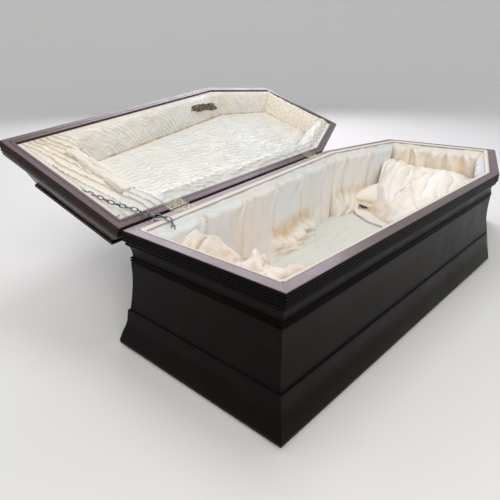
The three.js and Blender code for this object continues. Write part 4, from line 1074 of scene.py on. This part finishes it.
def settled_cloth(points, held, growth, frames, ground, slack):
    """The grid of points as cloth that is growth times too large for its place, let go for a number of frames by
    Blender's cloth solver: held points stay, and the rest buckles and rests on the ground grid. No point ends
    further than slack from where it began. The work objects are removed again."""
    rows, columns = points.shape[:2]
    cloth = finish_mesh("settling", points, grid_faces(rows, columns))
    pins = cloth.vertex_groups.new(name="held")
    pins.add(np.flatnonzero(held.ravel()).tolist(), 1.0, "REPLACE")
    solver = cloth.modifiers.new("settle", "CLOTH")
    solver.settings.vertex_group_mass = "held"
    solver.settings.quality, solver.settings.mass = 5, 0.2
    solver.settings.tension_stiffness = solver.settings.compression_stiffness = 12.0
    solver.settings.shear_stiffness, solver.settings.bending_stiffness = 4.0, 0.15
    solver.settings.air_damping = 3.0
    solver.settings.shrink_min = 1 - growth
    solver.collision_settings.use_self_collision = False
    solver.collision_settings.distance_min = 0.003
    solver.point_cache.frame_start, solver.point_cache.frame_end = 1, frames
    bed = finish_mesh("settling_bed", ground, grid_faces(*ground.shape[:2]))
    bed.modifiers.new("bed", "COLLISION")
    bed.collision.thickness_outer, bed.collision.cloth_friction, bed.collision.use_culling = 0.003, 15, False
    for step in range(1, frames + 1):
        scene.frame_set(step)
    after = cloth.evaluated_get(bpy.context.evaluated_depsgraph_get()).data
    moved = np.empty(rows * columns * 3, np.float32)
    after.vertices.foreach_get("co", moved)
    move = moved.reshape(rows, columns, 3).astype(float) - points
    reach = np.linalg.norm(move, axis=-1, keepdims=True)
    scene.frame_set(1)
    for helper in (cloth, bed):
        mesh = helper.data
        bpy.data.objects.remove(helper)
        bpy.data.meshes.remove(mesh)
    return points + move * np.minimum(1, slack / np.maximum(reach, 1e-9))


def settle_cover(x, y, body, folds, growth, frames):
    """A cover over a heaped body: its height is the body and the folds over the mattress, down to a hem that lies
    flat. It settles as cloth on the body a little lower, held along its borders."""
    row = np.arange(len(x))
    hem = np.broadcast_to(np.minimum(row, row[::-1])[:, None] / 5, x.shape)
    high = np.maximum(body + folds * (0.3 + 0.7 * eased((body - 0.02) / 0.08)), 0.006)
    height = MATTRESS_TOP + 0.0006 + high * eased(hem) ** 0.5
    points = np.stack([x, y, height], -1)
    held = np.zeros(x.shape, bool)
    held[:, :2] = held[:, -2:] = True
    held[:2] = held[-2:] = True
    bed = MATTRESS_TOP + np.maximum(body * 0.92 - 0.012, 0)
    return settled_cloth(points, held, growth, frames, np.stack([x, y, bed], -1), COVER_SLACK)


HEAD_FOLDS = (
    (0.89, 0.19, 0.70, 0.10, 0.060, 0.022), (0.79, 0.13, 0.63, 0.12, 0.040, 0.016),
    (0.60, 0.06, 0.70, 0.02, 0.014, -0.024), (0.70, 0.02, 0.84, -0.01, 0.014, -0.018),
    (0.48, 0.04, 0.67, 0.01, 0.016, 0.018), (0.48, 0.04, 0.44, -0.10, 0.012, -0.014),
    (0.67, 0.01, 0.52, -0.09, 0.014, -0.016), (0.85, -0.04, 0.63, -0.06, 0.013, -0.016),
    (0.83, -0.09, 0.60, -0.12, 0.032, 0.020), (0.81, -0.14, 0.56, -0.18, 0.014, -0.024),
    (0.76, -0.19, 0.61, -0.25, 0.014, -0.018), (0.48, 0.04, 0.58, 0.14, 0.026, 0.014),
    (0.48, 0.04, 0.55, 0.09, 0.011, -0.013), (0.74, 0.20, 0.66, 0.16, 0.013, -0.014),
    (0.92, 0.08, 0.80, 0.03, 0.014, -0.016), (0.42, 0.12, 0.58, 0.25, 0.015, 0.016),
    (0.46, 0.10, 0.62, 0.22, 0.010, -0.012))
FOOT_FOLDS = (
    (-0.86, 0.15, -0.72, 0.20, 0.016, -0.024), (-0.90, 0.20, -0.82, 0.15, 0.014, -0.018),
    (-0.70, 0.22, -0.66, 0.12, 0.022, 0.020), (-0.62, 0.07, -0.86, 0.02, 0.022, 0.026),
    (-0.60, 0.12, -0.80, 0.08, 0.018, -0.026), (-0.66, 0.24, -0.78, 0.22, 0.016, -0.016),
    (-0.62, 0.02, -0.84, -0.05, 0.020, -0.026), (-0.60, -0.10, -0.82, -0.14, 0.036, 0.026),
    (-0.66, -0.18, -0.84, -0.20, 0.018, -0.018))

x, y, across = plan_grid(inner_outset - COVER_INSET, HEAD_HEM, mattress_end - 0.006, 190, 180)
hem_line = (np.interp(across, (-1, -0.35, 0.15, 0.5, 1), (0.02, 0.03, 0.02, 0.07, 0.19))
            + 0.008 * wander(across * 7, x * 0, 12))
x = x + hem_line * (mattress_end - 0.006 - x) / (mattress_end - 0.406)
y = across * half_width(x, inner_outset - COVER_INSET)
ridge_line = np.interp(x, (0.46, 0.52, 0.60, 0.635, 0.76, 0.86, 0.94), (0.00, 0.093, 0.167, 0.205, 0.222, 0.26, 0.32))
mass = np.interp(x, (0.43, 0.48, 0.52, 0.60, 0.70, 0.80, 0.89, 0.945),
                 (0.012, 0.060, 0.095, 0.150, 0.200, 0.232, 0.243, 0.21))
body = softened(0.014 + (mass - 0.014) * eased((ridge_line - y) / 0.05 + 0.2), 4)
body = body * (1 - 0.10 * eased((-0.5 - across) / 0.4))
folds = (fold_strokes(x, y, HEAD_FOLDS) + 0.017 * (drawn_folds(x, y, 40, 0.085, 0.5) - 0.5)
         + 0.006 * (drawn_folds(x, y, 46, 0.036, 2.0) - 0.5))
points = settle_cover(x, y, body, folds, 1.07, 14)
thrown_sheet("head_cover_sheet", points, crease_of(points[..., 2], 16, 0.010), "head_cover",
             cover_satin)

# Its large golden share paints the warm shade that fills the bunched folds of the foot cover.
foot_satin = satin("golden_ivory_satin", "#f1e7dc", "#a67637", "#ebe3d8", "#dcb884", 0.55, 6.0)
x, y, across = plan_grid(inner_outset - COVER_INSET, -mattress_end + 0.006, FOOT_HEM, 200, 180)
hem_line = (np.interp(across, (-1, -0.3, 0.2, 0.6, 1), (-0.02, 0.03, 0.0, -0.06, -0.12))
            + 0.012 * wander(across * 6, x * 0, 13))
x = x + hem_line * (x + mattress_end) / (mattress_end + FOOT_HEM)
y = across * half_width(x, inner_outset - COVER_INSET)
far_line = np.interp(y, (-0.30, -0.10, 0.02, 0.05, 0.10, 0.18, 0.26, 0.33),
                     (-0.50, -0.45, -0.44, -0.48, -0.56, -0.59, -0.66, -0.70))
corner_hump = 0.098 * np.exp(-((x + 0.77) / 0.095) ** 2 - ((y - 0.225) / 0.095) ** 4)
bowl = np.hypot((x + 0.555) / 1.25, y - 0.005)
dish = 0.026 * np.exp(-((bowl - 0.078) / 0.024) ** 2) - 0.050 * np.exp(-(bowl / 0.052) ** 2)
mass = np.interp(x, (-0.95, -0.85, -0.70, -0.58, -0.45), (0.205, 0.218, 0.206, 0.182, 0.125)) + corner_hump + dish
body = softened(0.012 + (mass - 0.012) * eased((far_line - x) / 0.08 + 0.35), 3)
folds = (fold_strokes(x, y, FOOT_FOLDS) + 0.040 * (0.5 - drawn_folds(x, y, 60, 0.110, 1.4))
         + 0.017 * (0.5 - drawn_folds(x, y, 66, 0.050, 0.7)))
points = settle_cover(x, y, body, folds, 1.08, 14)
# Painted shade in the cover's narrow creases and broad hollows.
hollows = np.maximum(crease_of(points[..., 2], 12, 0.0045), 0.9 * crease_of(points[..., 2], 50, 0.009))
thrown_sheet("foot_cover_sheet", points, hollows, "foot_cover", foot_satin)


# Padded rolls of the lid
# Six thick rolls of satin over wadding, sewn into the slope of the lid: finely quilted along the far side and the
# shoulders, drawn into deep folds at the foot, and slack along the hinges.
PAD_EDGE_INSET, SEAM_DEPTH = 0.160, 0.101
TEAR_ALONG, TEAR_DOWN, TEAR_LENGTH, TEAR_WIDTH = 1.21, 0.114, 0.155, 0.021


def pad_section(flat, steps=12):
    """Section of a lid roll as (outset, height): up from the rim's inner edge, over a full crest and steeply down
    to the panel's seam, where it is tucked in. Where it is flat it stays at the rim's level to its inner edge."""
    start = [(RIM_WIDTH + JOIN_GAP, 0.010), (0.046, 0.008), (0.058, 0.006)]
    if flat:
        drops = [(0.070, 0.006), (0.086, 0.006), (0.103, 0.006), (0.118, 0.006), (0.130, 0.006), (0.140, 0.006),
                 (0.150, 0.006), (PAD_EDGE_INSET, 0.008), (PAD_EDGE_INSET + 0.0002, 0.020)]
    else:
        drops = [(0.070, -0.003), (0.086, -0.008), (0.103, -0.003), (0.121, 0.013), (0.138, 0.037), (0.150, 0.062),
                 (0.158, 0.086), (PAD_EDGE_INSET, SEAM_DEPTH), (PAD_EDGE_INSET + 0.0002, SEAM_DEPTH + 0.006)]
    return even_points(smooth_curve([(-inset, LID_RIM + drop) for inset, drop in start + drops], steps), 56)


def quilted(s, q, seed, spacing, lean):
    """Hand quilting pulled tight: waving ridges a spacing apart across a leaning direction, from the sine of a
    warped distance, which swell and fade along their length."""
    warp = 2.2 * wander(s / 0.065, q / 0.050, seed) + 0.8 * wander(s / 0.024, q / 0.020, seed + 1)
    ridge = np.abs(np.sin(np.pi * (q * math.cos(lean) + s * math.sin(lean)) / spacing + warp))
    swell = 0.75 + 0.4 * wander(s / 0.04, q / 0.02, seed + 3)
    return 0.0078 * swell * ridge ** 0.65 + 0.0012 * wander(s / 0.02, q / 0.012, seed + 2)


def gathered_folds(x, y):
    """Rope-like folds across the lid's foot end, about 34 mm apart, that draw together towards the far corner:
    full rounded ridges from the root of a sine, crinkled across, with narrow valleys."""
    c = x + 1.0 - 0.10 * y
    warp = 2.2 * wander(y / 0.22, c / 0.13, 221) + 0.8 * wander(y / 0.07, c / 0.05, 222)
    ridge = np.abs(np.sin(np.pi * c / (0.034 * (1 + 0.9 * y)) + warp))
    swell = 0.8 + 0.5 * wander(y / 0.09, c / 0.05, 223)
    crinkle = 0.0030 * wander(y / 0.020, c / 0.030, 224) + 0.0014 * wander(y / 0.008, c / 0.014, 225)
    return 0.0155 * swell * ridge ** 0.6 + crinkle


def near_foot(x, y):
    """1 where the lid's cloth is gathered at the foot end, 0 beyond a wavering line 0.25 m from it."""
    return 1 - eased((x + 1.0 - 0.232 - 0.012 * wander(y / 0.09, y * 0, 226)) / 0.040)


def slack_folds(s, q, seed):
    """Shallow folds along the roll, about 40 mm apart, waving over a hand's length."""
    warp = 1.6 * wander(s / 0.14, q / 0.09, seed) + 0.5 * wander(s / 0.04, q / 0.03, seed + 1)
    ridge = np.abs(np.sin(np.pi * (q + 0.06 * s) / 0.040 + warp))
    return 0.0065 * ridge ** 0.9 + 0.0012 * wander(s / 0.02, q / 0.02, seed + 2)


def diamond_quilting(s, q, seed):
    """Quilting in diamonds 52 mm wide: the lower of two crossed rows of arches."""
    one = np.abs(np.sin(np.pi * (s + q) / 0.052 + 1.5 * wander(s / 0.05, q / 0.04, seed)))
    two = np.abs(np.sin(np.pi * (s - q) / 0.052 + 1.5 * wander(s / 0.05, q / 0.04, seed + 1)))
    return 0.0062 * np.minimum(one, two) ** 0.7 + 0.0010 * wander(s / 0.012, q / 0.012, seed + 2)


PAD_SURFACE = {
    "front_side": lambda s, q: quilted(s, q, 101, 0.023, -0.80),
    "front_shoulder": lambda s, q: quilted(s, q, 111, 0.023, -0.80),
    "head_end": lambda s, q: diamond_quilting(s, q, 121),
    "hinge_shoulder": lambda s, q: slack_folds(s, q, 131) * 0.5 + quilted(s, q, 132, 0.019, -0.3) * 0.8,
    "hinge_side": lambda s, q: slack_folds(s, q, 141) * 0.7 + quilted(s, q, 142, 0.019, -0.25) * 0.8,
    "foot_end": lambda s, q: s * 0,
}
quilt_satin = satin("ivory_quilted_satin", "#f3f0e8", "#b9924e", "#eaecea", "#eeddb6", 0.30, 2.0)
cream_satin = satin("cream_quilted_satin", "#f7f0e2", "#c39a52", "#f1ebdd", "#efdcb4", 0.4, 2.0)
gathered_satin = satin("gathered_satin", "#f4efe5", "#9c7238", "#e9e9e4", "#ecd6ac", 0.5, 2.4)
# The hinge rolls take a cooler, darker copy of the quilted satin: painted shade on their faces turned to the rim.
cool_satin = satin("shaded_quilted_satin", "#ecebe4", "#a89468", "#e0e4e4", "#e9dfc6", 0.4, 2.0)
PAD_SATIN = {
    "head_end": cream_satin, "hinge_side": cool_satin, "hinge_shoulder": cool_satin, "foot_end": gathered_satin}
pad_back = np.array(lid_inner_face) + (-JOIN_GAP, LID_RIM)
pad_back[0, 1] -= JOIN_GAP
for side, name in enumerate(SIDES):
    profile, flat_profile = pad_section(False), pad_section(True)
    length = float(np.linalg.norm(RIM_CORNERS[(side + 1) % 6] - RIM_CORNERS[side]))
    rows = int(length / 0.0040)
    share = np.linspace(0, 1, rows)
    run = run_along(profile)
    s, q = np.broadcast_arrays(share[:, None] * length, run[None])
    plain = side_surface(side, flat_profile, np.zeros(s.shape), share)
    gather = near_foot(plain[..., 0], plain[..., 1])
    height = PAD_SURFACE[name](s, q)
    ends = np.minimum(s, length - s) - 0.35 * q
    height = (height + 0.004 * eased(np.abs(ends) / 0.03)) * (0.35 + 0.65 * eased((run[-1] - q) / 0.02)) - 0.003
    folds = gathered_folds(plain[..., 0], plain[..., 1]) - 0.004
    height = (height * (1 - gather) + folds * gather) * eased(q / 0.012)
    # Painted shade along the seams: at the foot end a dark band beside the lace, where the gathers throw their
    # shadow, on the quilted rolls a gold-brown line where they meet the panel, and none on the hinge rolls.
    if name == "foot_end":
        seam = gather * (1 - eased((q - 0.008) / 0.010)) * 0.8
    elif name.startswith("hinge"):
        seam = np.zeros(s.shape)
    else:
        seam = eased((q - run[-1] + 0.015) / 0.003) * (0.62 + 0.38 * wander(s / 0.03, q * 0, 171 + side))
        seam = seam * (1 - gather)
    torn = None
    if name == "front_side":
        smooth_patch = np.exp(-((s - TEAR_ALONG + 0.02) / 0.09) ** 2 - ((q - TEAR_DOWN + 0.05) / 0.036) ** 2)
        turn = np.arctan2(q - TEAR_DOWN + 0.01, s - TEAR_ALONG)
        height = height * (1 - smooth_patch) + (0.009 + 0.0022 * np.sin(11 * turn)) * smooth_patch
        ragged = 0.60 * wander(s / 0.030, q / 0.012, 161) + 0.25 * wander(s / 0.008, q / 0.005, 162)
        inside = (1 - ((s - TEAR_ALONG) / TEAR_LENGTH) ** 4
                  - ((q - TEAR_DOWN - 0.10 * (s - TEAR_ALONG)) / TEAR_WIDTH) ** 4 + ragged)
        torn = eased(inside / 0.25)
        height = height * (1 - torn) - 0.006 * torn
    front = side_surface(side, profile, height, share)
    laid_flat = side_surface(side, flat_profile, height, share)
    front = front + (laid_flat - front) * gather[..., None]
    back_line = np.concatenate([[(-PAD_EDGE_INSET, pad_back[0, 1])], pad_back])
    back = side_surface(side, back_line, np.zeros((rows, len(back_line))), share)
    # Painted shade in the roll's creases and along its seam.
    hollows = np.maximum(crease_of(height, 10, 0.0055 - 0.0020 * gather), seam)
    pad = wadded_piece(f"lid_roll_{name}", front, back, hollows, np.stack([s, q], -1), torn)
    open_up(pad)
    pad.data.materials.append(PAD_SATIN.get(name, quilt_satin))
    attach(pad, "lid")
    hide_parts(f"lid_pad_{name}")


# Lace band of the lid
# A machine-made ivory lace ribbon, 22 mm wide with rows of raised dots 12 mm apart, glued along the foot end's
# inner edge.
LACE_WIDTH, LACE_THICKNESS, LACE_DOT = 0.022, 0.0016, 0.012
lace_outset = -RIM_WIDTH - LACE_WIDTH / 2 + 0.003
lace_path = np.array([
    [*(plan_corner(k, lace_outset) + (0, pull)), LID_RIM + 0.0028] for k, pull in ((5, -0.010), (0, 0.010))])
lace_band = open_up(braid_band("lace_band", lace_path, (0, 0, -1), LACE_DOT, LACE_WIDTH, LACE_THICKNESS, 0.0010, 3))
lace_band.data.materials.append(gimp)
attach(lace_band, "lid")


# Quilted panel of the lid
# One wadded satin panel under the crown board, machine quilted in close wavering rows that run along the lid.
QUILT_THICKNESS = 0.054
quilt_outset = -PAD_EDGE_INSET - JOIN_GAP
quilt_foot, quilt_head = plan_corner(5, quilt_outset)[0], plan_corner(3, quilt_outset)[0]
x, y, across = plan_grid(quilt_outset, quilt_foot, quilt_head, 400, 104)
edge = np.minimum(np.minimum(x - quilt_foot, quilt_head - x), half_width(x, quilt_outset) - np.abs(y))
rows_of_stitch = quilted(x, y, 201, 0.0175, -0.2)
raised_by = rows_of_stitch * (1 - 0.8 * near_foot(x, y)) + 0.004 * wander(x / 0.22, y / 0.13, 204)
quilt_back = LID_RIM + lid_slope_top[1] - JOIN_GAP
depth = QUILT_THICKNESS * 0.98 + raised_by * eased(edge / 0.010) + 0.004 * np.exp(-((edge - 0.025) / 0.018) ** 2)
face = np.stack([x, y, quilt_back - depth], -1)
backing = np.stack([x, y, np.full(x.shape, quilt_back)], -1)
crown_quilt = closed_slab("quilted_panel", face, backing, crease_of(raised_by, 10, 0.0065), np.stack([x, y], -1))
open_up(crown_quilt)
crown_quilt.data.materials.append(quilt_satin)
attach(crown_quilt, "lid")
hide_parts("lid_crown_quilt")


# Gathers at the lid's foot end
# Satin of the panel and the rolls bunched up across the foot end in deep folds that reach the rim's level.
GATHERS_LENGTH, GATHERS_TOP, GATHERS_FOOT = 0.100, 0.006, 0.0965
x, y, across = plan_grid(quilt_outset - JOIN_GAP, quilt_foot, quilt_foot + GATHERS_LENGTH, 60, 150)
fall = eased((x - quilt_foot - 0.050 - 0.008 * wander(y / 0.09, y * 0, 226)) / 0.050)
sunk = (GATHERS_FOOT - 0.006 - GATHERS_TOP) * fall ** 1.5
depth = GATHERS_TOP - (gathered_folds(x, y) - 0.004) * (1 - 0.6 * fall) + sunk
face = np.stack([x, y, LID_RIM + np.minimum(depth, GATHERS_FOOT - 0.003)], -1)
under = np.stack([x, y, np.full(x.shape, LID_RIM + GATHERS_FOOT)], -1)
gathers = closed_slab("foot_gathers", face, under, crease_of(-depth, 10, 0.0035), np.stack([x, y], -1))
open_up(gathers)
gathers.data.materials.append(gathered_satin)
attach(gathers, "lid")
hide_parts("lid_foot_gathers")
